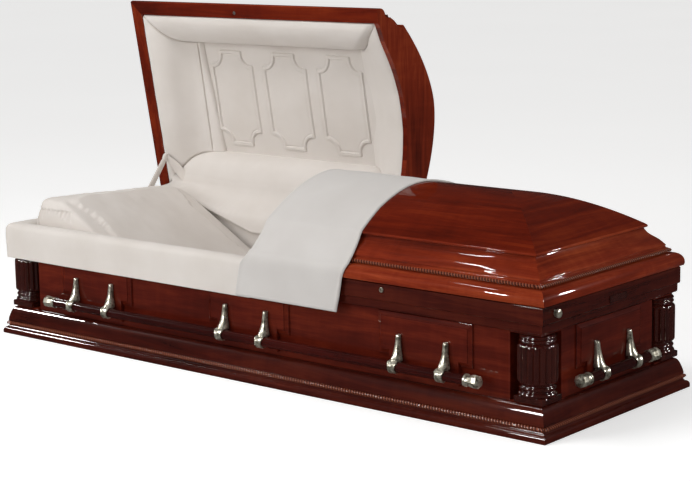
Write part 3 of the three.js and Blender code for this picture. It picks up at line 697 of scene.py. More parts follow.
LID_FACE = arris(
    flow(mm([(17, 353), (15.2, 358), (15, 363), (16.6, 372), (21, 380.5), (28, 386.6), (35, 389.6), (40, 390.6)]), 3)
    + mm([(45.5, 391), (47.5, 392.5), (47.5, 403), (50.5, 404.4)])
    + flow(mm([(52.6, 405), (54.4, 407), (54.6, 410), (53.8, 412.5), (55.5, 415), (58.5, 418.5), (62.5, 423.5), (69, 430.5),
               (77, 437), (84.5, 443), (90.8, 449.5), (95.6, 456.5), (98.6, 463)]), 3)
    + mm([(93, 464)]) + flow(mm([(91.2, 465), (90.3, 467.4), (90.8, 470), (93, 472)]), 3), 0.0008, closed=False)
CROWN = [(CROWN_INSET + d, crown_at(d)) for d in [0.006, 0.012] + [CROWN_RUN * k / 22 for k in range(2, 23)]]
LID_HOLLOW = mm([(60, 353), (62, 395), (72, 408), (84, 426), (97, 439), (108, 450), (113, 462), (118, 474)]) + [
    (CROWN_INSET + d, crown_at(d) - 0.016 - d * 0.01) for d in (0.055, 0.09, 0.13, 0.18, 0.23, CROWN_RUN)]
ARCH = [(share * (HALF_W - 0.060), LID_BOTTOM + 0.078 * rise) for share, rise in flow(
    [(-1, 0), (-0.954, 0.077), (-0.8, 0.244), (-0.6, 0.55), (-0.428, 0.77), (-0.253, 0.923), (-0.164, 0.975), (0, 1),
     (0.164, 0.975), (0.253, 0.923), (0.428, 0.77), (0.6, 0.55), (0.8, 0.244), (0.954, 0.077), (1, 0)], 3)]


def lid_shell(sign):
    """A hollow hipped lid with an arched header board at its cut end."""
    bm = bmesh.new()
    section = LID_HOLLOW[::-1] + LID_FACE + CROWN
    lip = len(LID_HOLLOW) - 1
    cut = CUT + sign * CUT_GAP / 2
    board = cut + sign * HEADER
    rows = 6

    def long_place(side):
        def place(i, j):
            inset, z = section[i]
            mitre = sign * (HALF_L - inset)
            s = cut if j == 0 else board + (mitre - board) * (j - 1) / (rows - 1)
            return on_side(side, inset, z, s)
        return place

    for side in LONG_SIDES:
        verts = grid(bm, len(section) - 1, rows, long_place(side))
        cut_away = {verts[i, j] for i in range(lip + 1) for j in (0, 1)}
        faces = [f for f in bm.faces if all(v in cut_away for v in f.verts)]
        bmesh.ops.delete(bm, geom=faces, context="FACES_ONLY")
        loose = [verts[i, 0] for i in range(lip) if not verts[i, 0].link_faces]
        bmesh.ops.delete(bm, geom=loose, context="VERTS")
    end = "foot" if sign > 0 else "head"
    grid(bm, len(section) - 1, 2, lambda i, j: on_side(end, section[i][0], section[i][1], (j - 1) * (HALF_W - section[i][0])),
         finish=1)
    arch = [bm.verts.new((cut, y, z)) for y, z in ARCH]
    edges = [bm.edges.new(pair) for pair in zip(arch, arch[1:])]
    out = bmesh.ops.extrude_edge_only(bm, edges=edges)["geom"]
    bmesh.ops.translate(bm, vec=(sign * HEADER, 0, 0), verts=[g for g in out if isinstance(g, bmesh.types.BMVert)])
    loose = [e for e in bm.edges if not e.link_faces]
    bmesh.ops.delete(bm, geom=loose, context="EDGES")
    before = set(bm.faces)
    close_up(bm, 2e-5)
    for face in bm.faces:
        if face not in before and len(face.verts) > 20:
            face.material_index = 1

    def on_mitre(v):
        return v.co.z < CROWN_EDGE and abs(HALF_L - abs(v.co.x) - HALF_W + abs(v.co.y)) < 1e-5 and HALF_W - abs(v.co.y) < 0.0995

    # faces below the crown edge take the lighter moulding tones, painted light
    for face in bm.faces:
        if face.calc_center_median().z < CROWN_EDGE + 0.001 and face.normal.z > -0.95:
            face.material_index += 2
    mitres = [e for e in bm.edges if on_mitre(e.verts[0]) and on_mitre(e.verts[1]) and e.calc_face_angle(0) > 0.4]
    bmesh.ops.bevel(bm, geom=mitres, offset=0.0014, segments=2, profile=0.5, affect="EDGES", material=-1)
    return bm


def lid_rope(sign, name, body):
    bm = bmesh.new()
    cut = CUT + sign * CUT_GAP / 2
    inset = 0.0465
    for side in LONG_SIDES:
        rope(bm, side, inset, 0.3976, 0.0056, cut, sign * (HALF_L - inset))
    end = "foot" if sign > 0 else "head"
    rope(bm, end, inset, 0.3976, 0.0056, inset - HALF_W, HALF_W - inset)
    if sign < 0:
        swing_open(bm)
    piece(name, bm, body, rope_cherry)


shell = lid_shell(1)
piece("foot_lid_shell", shell, "foot_lid", [lid_cherry["x"], lid_cherry["y"], mould_lit_cherry["x"], mould_lit_cherry["y"]], "foot_lid", crease=28)
lid_rope(1, "foot_lid_rope", "foot_lid")
shell = lid_shell(-1)
swing_open(shell)
piece("head_lid_shell", shell, "head_lid", [lid_cherry["x"], lid_cherry["z"], mould_lit_cherry["x"], mould_lit_cherry["z"]], "head_lid", crease=28)
lid_rope(-1, "head_lid_rope", "head_lid")


def catch():
    bm = bmesh.new()
    middle = Vector((CUT - 0.605, 0.043 - HALF_W, LID_BOTTOM - 0.0003))
    turned(bm, mm([(0, 0), (5.6, 0), (6, 0.3), (5.6, 1.1), (3.4, 1.4), (2.6, 0.7), (0, 0.7)]), 24,
           lambda x, y, z: middle + Vector((x, y, -z)))
    bmesh.ops.recalc_face_normals(bm, faces=bm.faces)
    swing_open(bm)
    piece("catch_plate", bm, "head_lid", dull_metal, "lid_catch")


catch()


# ---------------------------------------------------------------- upholstery of the head lid

ROLL_END = CUT - CUT_GAP / 2 - HEADER - 0.0003
ROLL_RINGS = [  # inset from the head end, from the sides, from the cut end, height over the lid's lower edge
    (62.5, 62.5, 0, 6), (68, 68, 5, 2), (82, 82, 18, 1.0), (97, 97, 34, 4), (112, 113, 50, 10), (128, 130, 68, 20),
    (143, 145, 86, 33), (158, 156, 104, 47), (176, 163, 118, 61), (198, 167, 132, 74), (216, 168.5, 142, 82),
    (221, 169, 144.5, 84.4), (224, 169.2, 146, 86), (227, 169.4, 147.5, 87.6), (232, 169.6, 149, 91.6), (238, 170, 150, 99.6),
    (232, 168, 147, 101.4), (170, 140, 90, 102.5), (112, 112, 30, 96), (90, 90, 14, 78), (70, 70, 4, 52), (62.8, 62.8, 0, 34)]
WALL_SEAM, WALL_SPLAY = 0.224, 0.031


def arch_lift(y):
    return along(ARCH, min(max(y, ARCH[0][0]), ARCH[-1][0])) - LID_BOTTOM


def lid_roll():
    bm = bmesh.new()
    rings = flow([(a / 1000, b / 1000, c / 1000, LID_BOTTOM + d / 1000) for a, b, c, d in ROLL_RINGS], 3, closed=True)
    steps = 72

    for side in ("front", "foot", "back", "head"):
        def place(k, j):
            head, flank, cut_end, z = rings[k]
            y0, y1 = flank - HALF_W, HALF_W - flank
            across = {"front": 0.0, "back": 1.0}.get(side, 0.5 - 0.5 * math.cos(math.pi * j / steps))
            strip = WALL_SPLAY * ease((head - WALL_SEAM) / 0.010) * across if z < LID_BOTTOM + 0.1005 else 0
            x0, x1 = head + strip - HALF_L, ROLL_END - cut_end
            t = 0.5 - 0.5 * math.cos(math.pi * j / steps)
            long_way = side in LONG_SIDES
            s0, s1 = (x0, x1) if long_way else (y0, y1)
            s = s0 + (s1 - s0) * t
            if side == "front":
                p = Vector((s, y0, z))
            elif side == "back":
                p = Vector((s, y1, z))
            elif side == "head":
                p = Vector((x0, s, z))
            else:
                p = Vector((x1, s, z))
            low = min(max((LID_BOTTOM + 0.100 - z) / 0.098, 0), 1)
            near = ease(1 - (ROLL_END - p.x - cut_end) / 0.03) if side != "head" else 0
            if side == "foot" or near > 0:
                lift = arch_lift(p.y) * low ** 0.8 * (1 if side == "foot" else near)
                p.z += lift
            # seam groove at the mitres, and a little unevenness in the stuffing
            gap = min(s - s0, s1 - s)
            shows = ease((LID_BOTTOM + 0.096 - z) / 0.03)
            p.z += shows * 0.0080 * math.exp(-(gap / 0.0034) ** 2)
            if side == "head" and z < LID_BOTTOM + 0.094:
                p += Vector((-0.0030, 0, 0.0030)) * math.exp(-((head - WALL_SEAM) / 0.0018) ** 2) * ease(gap / 0.02)
            if side != "foot" and z < LID_BOTTOM + 0.098:
                fade = 1 if side == "head" else ease(1 - (s - s0) / 0.08)
                p.z -= 0.006 * across * fade * math.exp(-((head - WALL_SEAM + 0.004) / 0.020) ** 2)
            p.z -= shows * 0.0020 * noise.noise(p * 7.0) + shows * 0.0009 * noise.noise(p * 26.0)
            return p

        ring_run(bm, rings, steps, place)
    bmesh.ops.remove_doubles(bm, verts=bm.verts, dist=2e-5)
    bmesh.ops.recalc_face_normals(bm, faces=bm.faces)
    swing_open(bm)
    made = piece("padded_roll", bm, "head_lid", ivory_velvet, "lid_roll", crease=60)


FRAME_CENTRES = (-0.7115, -0.4730, -0.2345)


def frame_distance(x, y):
    """How far a point is from the stitched outline: a tall frame with notched, hollow corners."""
    x, y = abs(x), abs(y)
    runs = [((0.0905, 0), (0.0905, 0.112)), ((0.0905, 0.112), (0.085, 0.112)), ((0.044, 0.154), (0.044, 0.1605)),
            ((0.044, 0.1605), (0, 0.1605))]
    best = 1.0
    for (ax, ay), (bx, by) in runs:
        length = (bx - ax) ** 2 + (by - ay) ** 2
        t = min(max(((x - ax) * (bx - ax) + (y - ay) * (by - ay)) / length, 0), 1)
        best = min(best, math.hypot(x - ax - t * (bx - ax), y - ay - t * (by - ay)))
    cx, cy, r = 0.0860, 0.1540, 0.042
    if x < cx and y < cy:
        best = min(best, abs(math.hypot(x - cx, y - cy) - r))
    return best


def cap_panel():
    bm = bmesh.new()
    x0, x1, y1 = -0.872, -0.100, 0.214
    nx, ny = 420, 232

    def place(i, j):
        x, y = x0 + (x1 - x0) * i / nx, -y1 + 2 * y1 * j / ny
        d = min(frame_distance(x - c, y) for c in FRAME_CENTRES)
        ridge = 0.0046 * (1 - ease((d - 0.0036) / 0.0026)) - 0.0006 * math.exp(-(d / 0.0022) ** 2)
        dip = 0.0018 * math.exp(-((d - 0.0078) / 0.0018) ** 2)
        edge = min(x - x0, x1 - x, y + y1, y1 - y)
        crown = 0.0025 * ease(edge / 0.16) + 0.0012 * noise.noise(Vector((x * 9, y * 9, 0.3)))
        return Vector((x, y, 0.4535 - ridge + dip - crown))

    verts = grid(bm, nx, ny, place)
    rim = bmesh.ops.extrude_edge_only(bm, edges=[e for e in bm.edges if e.is_boundary])["geom"]
    raised = [g for g in rim if isinstance(g, bmesh.types.BMVert)]
    for v in raised:
        v.co.z = 0.4650
    close_up(bm, 1e-6)
    swing_open(bm)
    made = piece("stitched_cap_panel", bm, "head_lid", ivory, "cap_panel", crease=70)


lid_roll()
cap_panel()


# ---------------------------------------------------------------- lid stay

def stay():
    """Cloth-covered strap with a rounded end at each pivot."""
    bm = bmesh.new()
    low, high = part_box("lid_stay")
    node_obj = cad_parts["lid_stay"]
    ends = sorted((v.co.copy() for v in node_obj.data.vertices), key=lambda c: c.z)
    top, bottom = ends[-1], ends[0]
    axis = Vector((0, top.y - bottom.y, top.z - bottom.z))
    length = axis.length
    axis.normalize()
    across = Vector((0, -axis.z, axis.y))
    mid_x = (low.x + high.x) / 2
    around = 12
    stations = flow([(0.0, 0.0050), (0.003, 0.0092), (0.009, 0.0112), (0.020, 0.0118), (0.06, 0.0116), (length / 2, 0.0112),
                     (length - 0.05, 0.0108), (length - 0.028, 0.0098), (length - 0.019, 0.0078), (length - 0.014, 0.0096),
                     (length - 0.006, 0.0114), (length + 0.001, 0.0096), (length + 0.0050, 0.0044)], 3)

    def place(i, j):
        turn = math.tau * (i % around) / around
        t, half = stations[j]
        c, s = math.cos(turn), math.sin(turn)
        thick = 0.0044 + 0.0026 * ease((t - length + 0.022) / 0.006)
        flat = math.copysign(abs(c) ** 0.6, c) * thick * ease(half / 0.0075)
        wide = math.copysign(abs(s) ** 0.8, s) * half
        return Vector((mid_x + flat, bottom.y, bottom.z)) + axis * t + across * wide

    grid(bm, around, len(stations) - 1, place)
    close_up(bm, 1e-6)
    piece("covered_stay", bm, "lid_stay", ivory, "lid_stay", crease=50)
    return top + Vector((mid_x - top.x, 0, 0))


def stay_tape(pivot):
    """Flat tape from the stay's upper pivot down to the hinge side of the roll."""
    bm = bmesh.new()
    far = Vector((-0.905, 0.3573, 0.4120))
    start = pivot + Vector((0.004, -0.002, -0.004))
    run = far - start
    wide = run.cross(Vector((0.35, -0.9, 0.2))).normalized()
    steps, across = 24, 6

    def place(i, j):
        t, u = j / steps, i / across * 2 - 1
        half = 0.0085 + 0.0065 * ease(t / 0.35)
        bow = Vector((0.2, -0.95, 0.1)) * (0.0022 * (1 - u * u) - 0.004 * math.sin(math.pi * t))
        return start + run * t + wide * half * u + bow + Vector((0, 0.0009 * noise.noise(Vector((t * 4, u * 2, 0))), 0))

    grid(bm, across, steps, place)
    bmesh.ops.recalc_face_normals(bm, faces=bm.faces)
    bmesh.ops.solidify(bm, geom=bm.faces[:], thickness=0.0014)
    bmesh.ops.recalc_face_normals(bm, faces=bm.faces)
    made = piece("stay_tape", bm, "head_lid", ivory, crease=60)


stay_tape(stay())


# ---------------------------------------------------------------- bedding of the body

def mattress():
    bm = bmesh.new()
    low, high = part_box("mattress")
    ex, ey, notch = high.x, high.y, 0.163
    nx, ny = 150, 52
    xs = [-ex + 2 * ex * i / nx for i in range(nx + 1)]
    ys = [-ey + 2 * ey * j / ny for j in range(ny + 1)]
    corner_x, corner_y = HALF_L - notch, HALF_W - notch
    xs[min(range(nx + 1), key=lambda i: abs(xs[i] + corner_x))] = -corner_x
    xs[min(range(nx + 1), key=lambda i: abs(xs[i] - corner_x))] = corner_x
    ys[min(range(ny + 1), key=lambda j: abs(ys[j] + corner_y))] = -corner_y
    ys[min(range(ny + 1), key=lambda j: abs(ys[j] - corner_y))] = corner_y

    def edge_gap(x, y):
        if abs(x) > corner_x - 1e-6:
            return min(ex - abs(x), corner_y - abs(y))
        return min(ex - abs(x), ey - abs(y), max(corner_x - abs(x), corner_y - abs(y)) if abs(y) > corner_y else 1)

    def place(i, j):
        x, y = xs[i], ys[j]
        gap = max(edge_gap(x, y), 0)
        round_off = 0.012 * (1 - math.sqrt(max(0, 1 - (1 - min(gap / 0.012, 1)) ** 2)))
        quilt = 0.005 * abs(math.sin(math.pi * x / 0.13)) ** 0.5 * abs(math.sin(math.pi * (y + 0.3) / 0.12)) ** 0.5
        return Vector((x, y, high.z - 0.0065 - round_off + quilt))

    verts = grid(bm, nx, ny, place)
    gone = [f for f in bm.faces if all(abs(v.co.x) >= corner_x - 1e-6 and abs(v.co.y) >= corner_y - 1e-6 for v in f.verts)]
    bmesh.ops.delete(bm, geom=gone, context="FACES")
    rim = bmesh.ops.extrude_edge_only(bm, edges=[e for e in bm.edges if e.is_boundary])["geom"]
    for g in rim:
        if isinstance(g, bmesh.types.BMVert):
            g.co.z = low.z
    close_up(bm, 1e-6)
    made = piece("quilted_mattress", bm, "casket_body", ivory, "mattress", crease=55)


mattress()

PILLOW_START, PILLOW_LENGTH, PILLOW_INSET = 0.0785, 0.5685, 0.0775
PILLOW_RISE = mm([(80, 243), (96, 250), (112, 252), (150, 254), (190, 253), (218, 247), (250, 232), (290, 210), (340, 180),
                  (390, 149), (450, 111), (520, 67), (600, 28), (647, 12)])
PILLOW_EDGE = mm([(78, 236), (87, 243), (100, 248), (125, 252), (194, 254)])


def pillow():
    bm = bmesh.new()
    bmesh.ops.create_uvsphere(bm, u_segments=128, v_segments=64, radius=1)
    base = 0.180
    for v in bm.verts:
        x, y, z = v.co
        flat = math.hypot(x, y)
        power = 60
        full = flat / (abs(x) ** power + abs(y) ** power) ** (1 / power) if flat > 1e-6 else 1
        px = PILLOW_START - HALF_L + PILLOW_LENGTH * (1 + x * full) / 2
        py = (HALF_W - PILLOW_INSET) * y * full
        rise = min(along(PILLOW_RISE, px + HALF_L), along(PILLOW_EDGE, HALF_W - abs(py)))
        py -= 0.007 * (1 + py / 0.275)
        rise *= 1 - 0.055 * py / 0.275
        height = rise * (1 - (1 - z) ** 13) if z > 0 else 0.006 * z
        high = base + 0.003 + max(height, -0.002)
        px += 0.024 * ease((high - 0.350) / 0.075) * ease((-0.900 - px) / 0.070)
        v.co = Vector((px, py, high))
    made = piece("crepe_pillow", bm, None, ivory, "pillow", crease=80)
    return made


def keep_modified(obj):
    """Makes what the modifiers give the piece's own mesh."""
    depsgraph = bpy.context.evaluated_depsgraph_get()
    mesh = bpy.data.meshes.new_from_object(obj.evaluated_get(depsgraph))
    obj.modifiers.clear()
    old, obj.data = obj.data, mesh
    bpy.data.meshes.remove(old)
    return mesh


def stuff(obj, voxel, pressure, cap):
    """Cloth simulation: the cover swells under pressure, and no point moves further than cap."""
    remesh = obj.modifiers.new("remesh", "REMESH")
    remesh.mode, remesh.voxel_size = "VOXEL", voxel
    mesh = keep_modified(obj)
    rest = [v.co.copy() for v in mesh.vertices]
    cloth = obj.modifiers.new("cloth", "CLOTH")
    cloth.settings.use_pressure = True
    cloth.settings.uniform_pressure_force = pressure
    cloth.settings.effector_weights.gravity = 0
    cloth.settings.quality = 5
    scene = bpy.context.scene
    for step in range(1, 21):
        scene.frame_set(step)
    depsgraph = bpy.context.evaluated_depsgraph_get()
    swollen = obj.evaluated_get(depsgraph).data
    moved = [v.co.copy() for v in swollen.vertices]
    obj.modifiers.clear()
    scene.frame_set(1)
    middle = sum(rest, Vector()) / len(rest)
    for v, start, stop in zip(mesh.vertices, rest, moved):
        step = stop - start
        most = cap if step.dot(start - middle) > 0 else 0.2 * cap
        v.co = start + step * min(1, most / max(step.length, 1e-9))
    return obj


head_pillow = pillow()
stuff(head_pillow, 0.0068, 4, 0.012)


def dress_pillow(obj):
    """Soft creases that run in from the corners, kept clear of the walls and the mattress."""
    soft = obj.modifiers.new("soften", "SUBSURF")
    soft.levels = soft.render_levels = 1
    keep_modified(obj)
    low_limit = 0.1812
    wall_x, wall_y = HALF_L - 0.163, HALF_W - 0.163
    for v in obj.data.vertices:
        co = v.co
        lift = ease((co.z - 0.24) / 0.08)
        fold = 0.0030 * noise.noise(Vector((co.x * 9 + co.y * 5, co.y * 13, co.z * 6)))
        fold += 0.0010 * noise.noise(Vector((co.x * 30, co.y * 34, co.z * 12)))
        co.z += fold * lift
        # ruching of the boxed sides, tightest at the two head corners
        below = ease((0.414 - co.z) / 0.006) * ease((co.z - 0.30) / 0.03)
        near_end = ease((-0.785 - co.x) / 0.05)
        pull = 0.0056 * below * near_end
        if (co.y > 0.258 or co.y < -0.268) and co.x > -0.968:
            wave = math.sin(math.tau * co.x / 0.016 + 3 * noise.noise(Vector((co.x * 25, co.z * 12, 0))))
            wave += 0.8 * noise.noise(Vector((co.x * 60, co.z * 40, 3)))
            co.y -= math.copysign(pull * (0.8 + 0.6 * wave), co.y)
        elif co.x < -0.950:
            wave = math.sin(math.tau * co.y / 0.019 + 3 * noise.noise(Vector((co.y * 25, co.z * 12, 5))))
            co.x += pull * (0.8 + 0.6 * wave)
        co.z = max(co.z, low_limit)
        co.y = min(max(co.y, -0.2845), 0.2845)
        co.x = max(co.x, -0.987)
        if co.z < 0.285 and co.x < -wall_x and abs(co.y) > wall_y:
            if -wall_x - co.x < abs(co.y) - wall_y:
                co.x = -wall_x
            else:
                co.y = math.copysign(wall_y, co.y)
    for polygon in obj.data.polygons:
        polygon.use_smooth = True
    obj.data.materials.clear()
    obj.data.materials.append(ivory)


dress_pillow(head_pillow)
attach(head_pillow, "casket_body")
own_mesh(head_pillow)


def wall_lining():
    """Gathered cloth down the inside of the walls."""
    bm = bmesh.new()
    face, back = 0.0765, 0.0703
    high, low = RIM_TOP - 0.0005, 0.160
    notch = 0.1615
    ex, ey = HALF_L, HALF_W
    section_z = [low, 0.175, 0.195, 0.22, 0.245, 0.27, 0.30, 0.325, 0.340, 0.3465, high]

    for side in SIDES:
        run = reach(side) - notch if side in LONG_SIDES else reach(side) - notch
        steps = round(2 * run / 0.0045)

        def place(i, j):
            s = -run + 2 * run * j / steps
            if i == len(section_z):
                return on_side(side, back, high, s)
            z = section_z[i]
            pucker = 0.5 + 0.5 * math.sin(math.tau * s / 0.021 + 2.2 * noise.noise(Vector((s * 6, 0, 0))))
            inward = 0.0008 + 0.0038 * pucker * ease((high - z) / 0.03) * (0.55 + 0.45 * ease((z - 0.18) / 0.02)) * (0.8 + 0.4 * noise.noise(Vector((s * 30, z * 9, 1))))
            return on_side(side, 0.0732 + inward, z, s)

        grid(bm, len(section_z), steps, place)
    corner, shelf, rows = 0.1605, 0.2868, 8
    for sx in (-1, 1):
        for sy in (-1, 1):
            def shelf_place(i, j, sx=sx, sy=sy):
                a = corner + (face - 0.0025 - corner) * i / rows
                b = corner + (face - 0.0025 - corner) * j / rows
                rumple = 0.0008 + 0.0008 * noise.noise(Vector((sx + a * 60, sy + b * 60, 0)))
                return Vector((sx * (HALF_L - a), sy * (HALF_W - b), shelf + rumple))

            def run_up(i, j, along_x, sx=sx, sy=sy):
                z = shelf + (high - shelf) * i / rows
                a, b = corner + (face - 0.0025 - corner) * j / rows, face - 0.0028
                a, b = (a, b) if along_x else (b, a)
                return Vector((sx * (HALF_L - a), sy * (HALF_W - b), z))

            def run_down(i, j, along_x, sx=sx, sy=sy):
                z = low + (shelf + 0.0008 - low) * i / rows
                a, b = corner + (face - 0.0025 - corner) * j / rows, corner - 0.0006
                a, b = (a, b) if along_x else (b, a)
                return Vector((sx * (HALF_L - a), sy * (HALF_W - b), z))

            grid(bm, rows, rows, shelf_place)
            for way in (True, False):
                grid(bm, rows, rows, lambda i, j: run_up(i, j, way))
                grid(bm, rows, rows, lambda i, j: run_down(i, j, way))
    bmesh.ops.remove_doubles(bm, verts=bm.verts, dist=1e-6)
    bmesh.ops.recalc_face_normals(bm, faces=bm.faces)
    bmesh.ops.solidify(bm, geom=bm.faces[:], thickness=0.0008)
    bmesh.ops.recalc_face_normals(bm, faces=bm.faces)
    piece("gathered_lining", bm, "casket_body", ivory, "body_lining", crease=60)


wall_lining()


# ---------------------------------------------------------------- skirt over the rim

SKIRT_OUT = mm([(74, 349.5), (71.5, 354), (66, 358.5), (56, 362), (44, 363.6), (32, 362.4), (23, 357.4), (18, 348.5),
                (16.6, 337), (16.4, 320), (16.8, 300), (17.2, 280), (17.4, 262), (17.4, 253), (17.9, 250.4)])
SKIRT_IN = mm([(20.5, 250.4), (21.6, 253), (22.2, 265), (22.9, 300), (23.3, 335), (23.4, 349.6), (60, 349.6)])


def skirt():
    bm = bmesh.new()
    section = flow(SKIRT_OUT, 3) + flow(SKIRT_IN, 2)
    visible = len(flow(SKIRT_OUT, 3))
    start = CUT - 0.010
    path = []
    steps = 210
    for k in range(steps + 1):
        path.append(("front", start + (-(HALF_L) - start) * k / steps, k / steps))
    runs = {"front": (start, steps), "head": (None, 90)}

    def wobble(k, s, z, side):
        if k >= visible or k == 0:
            return 0.0, 0.0
        down = ease((RIM_TOP + 0.006 - z) / 0.07)
        seed = 0.0 if side == "front" else 7.0
        slow = noise.noise(Vector((s * 4.2 + seed, z * 3, 0.2)))
        ripple = noise.noise(Vector((s * 22 + seed, z * 6, 1.7)))
        over = ease((z - 0.345) / 0.010)
        return 0.0016 * slow * down + 0.0006 * ripple * down, over * (0.0012 * slow + 0.0007 * ripple)

    def front_place(k, j):
        inset, z = section[k]
        mitre = inset - HALF_L
        t = j / steps
        s = start + (mitre - start) * t
        out, up = wobble(k, s, z, "front")
        round_corner = ease(1 - (s - mitre) / 0.016)
        return on_side("front", inset - out * (1 - round_corner) + 0.0016 * round_corner, z + up * (1 - round_corner), s)

    ring_run(bm, section, steps, front_place)
    end_steps = 90

    def head_place(k, j):
        inset, z = section[k]
        mitre = HALF_W - inset
        t = j / end_steps
        s = -mitre + 2 * mitre * t
        out, up = wobble(k, s, z, "head")
        round_corner = ease(1 - (mitre - abs(s)) / 0.016)
        return on_side("head", inset - out * (1 - round_corner) + 0.0016 * round_corner, z + up * (1 - round_corner), s)

    ring_run(bm, section, end_steps, head_place)
    close_up(bm, 1.2e-4)
    made = piece("rim_skirt", bm, "casket_body", ivory, "skirt", crease=60)
    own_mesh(made)


skirt()


# ---------------------------------------------------------------- overlay thrown over the foot lid

OVERLAY_FRONT = mm([(15.2, 253), (14.2, 275), (13.8, 300), (12.8, 335), (12.0, 353), (12.2, 366), (14.6, 377), (20.5, 386.5),
                    (29, 394), (42, 408), (60, 429), (76, 450), (85.5, 463.5), (92.5, 472.2)]) + [
    (CROWN_INSET + d, crown_at(d) + 0.0008) for d in (0.012, 0.03, 0.055, 0.09, 0.13, 0.18, 0.23, 0.262)]
OVERLAY_LEFT = mm([(253, -22), (275, -18), (300, -12), (335, -4), (353, 3), (366, 15), (377, 26), (394, 34), (440, 40.5)])
OVERLAY_RIGHT = mm([(253, 362), (300, 375), (350, 386), (390, 400), (440, 398), (472, 395)])
OVERLAY_RUN = mm([(-275, 395), (-182, 388), (-60, 394), (0, 408), (80, 430), (275, 436)])


def overlay():
    bm = bmesh.new()
    front = [(i - HALF_W, z) for i, z in OVERLAY_FRONT]
    back = [(-y, z) for y, z in front[4:]][::-1]
    path = flow(front + [(0, CROWN_EDGE + CROWN_RISE + 0.0008)] + back, 4)
    hem = len(path) - 1
    across = [0, 0.0012, 0.0035, 0.0065, 0.0105, 0.016, 0.026] + [0.05 + 0.03 * k for k in range(10)]
    edge_up = [0.0012, 0.0048, 0.0068, 0.0074, 0.0066, 0.0052, 0.0042]
    runs = []

    def sides(y, z):
        if y < 0 and z < 0.470:
            return along(OVERLAY_LEFT, z), along(OVERLAY_RIGHT, z)
        return 0.0412, along(OVERLAY_RUN, y)

    count = 44

    def spread(u):
        """0..1 across the cloth, closer together at both edges."""
        return 0.5 - 0.5 * math.cos(math.pi * u)

    def profile(gap):
        """Thickness by distance from the nearest edge: a stuffed welt, then plain cloth."""
        return along([(0, 0.0008), (0.0008, 0.0028), (0.0024, 0.0043), (0.0046, 0.0049), (0.0080, 0.0045), (0.0110, 0.0036),
                      (0.016, 0.0035), (0.040, 0.0038)], gap)

    distance = [0.0]
    for a, b in zip(path, path[1:]):
        distance.append(distance[-1] + math.hypot(b[0] - a[0], b[1] - a[1]))
    total = distance[-1]

    def place(i, j):
        top = i <= count
        u = spread(i / count if top else (2 * count + 1 - i) / count)
        y, z = path[j]
        a, b = path[max(j - 1, 0)], path[min(j + 1, hem)]
        run = math.hypot(b[0] - a[0], b[1] - a[1])
        ny, nz = -(b[1] - a[1]) / run, (b[0] - a[0]) / run
        x0, x1 = sides(y, z)
        x = x0 + (x1 - x0) * u
        if not top:
            return Vector((x, y, z))
        gap = min(x - x0, x1 - x, distance[j] + 0.0004, total - distance[j] + 0.0004)
        rise = profile(gap)
        inner = ease(gap / 0.04)
        sag = 0.0022 * noise.noise(Vector((x * 6, y * 3, z * 3))) + 0.0012 * noise.noise(Vector((x * 17, y * 5, z * 5)))
        rise += inner * max(sag, -0.0016)
        return Vector((x, y + ny * rise, z + nz * rise))

    grid(bm, 2 * count + 1, hem, place)
    close_up(bm, 1e-6)
    made = piece("throw_overlay", bm, "foot_lid", throw_cloth, "overlay", crease=60)


overlay()


# ---------------------------------------------------------------- apron from the head lid's roll down into the body

APRON_TOP = [(0.3520, 0.4470), (0.3487, 0.4340), (0.3465, 0.4200)]
APRON_FALLS = (  # height of the drooping edge, then the rest of the path from the roll down
    (0.300, [(0.3410, 0.4030), (0.3310, 0.3860), (0.3170, 0.3700), (0.3020, 0.3575), (0.2895, 0.3480), (0.2810, 0.3350),
             (0.2765, 0.3180), (0.2745, 0.3000), (0.2740, 0.2950), (0.2765, 0.2905), (0.2825, 0.2880), (0.2848, 0.2800),
             (0.2848, 0.2600), (0.2848, 0.2300)]),
    (0.345, [(0.3425, 0.4050), (0.3350, 0.3920), (0.3250, 0.3790), (0.3120, 0.3690), (0.2990, 0.3620), (0.2870, 0.3570),
             (0.2790, 0.3520), (0.2745, 0.3450), (0.2735, 0.3400), (0.2765, 0.3355), (0.2825, 0.3330), (0.2848, 0.3250),
             (0.2848, 0.3050), (0.2848, 0.2600)]),
    (0.404, [(0.3420, 0.4150), (0.3330, 0.4120), (0.3220, 0.4100), (0.3100, 0.4088), (0.2980, 0.4082), (0.2870, 0.4078),
             (0.2790, 0.4068), (0.2745, 0.4040), (0.2735, 0.4000), (0.2765, 0.3960), (0.2825, 0.3935), (0.2848, 0.3860),
             (0.2848, 0.3650), (0.2848, 0.3000)]))
APRON_EDGE = [(-0.985, 0.406), (-0.890, 0.4030), (-0.843, 0.3870), (-0.687, 0.3413), (-0.533, 0.2960), (-0.45, 0.290)]


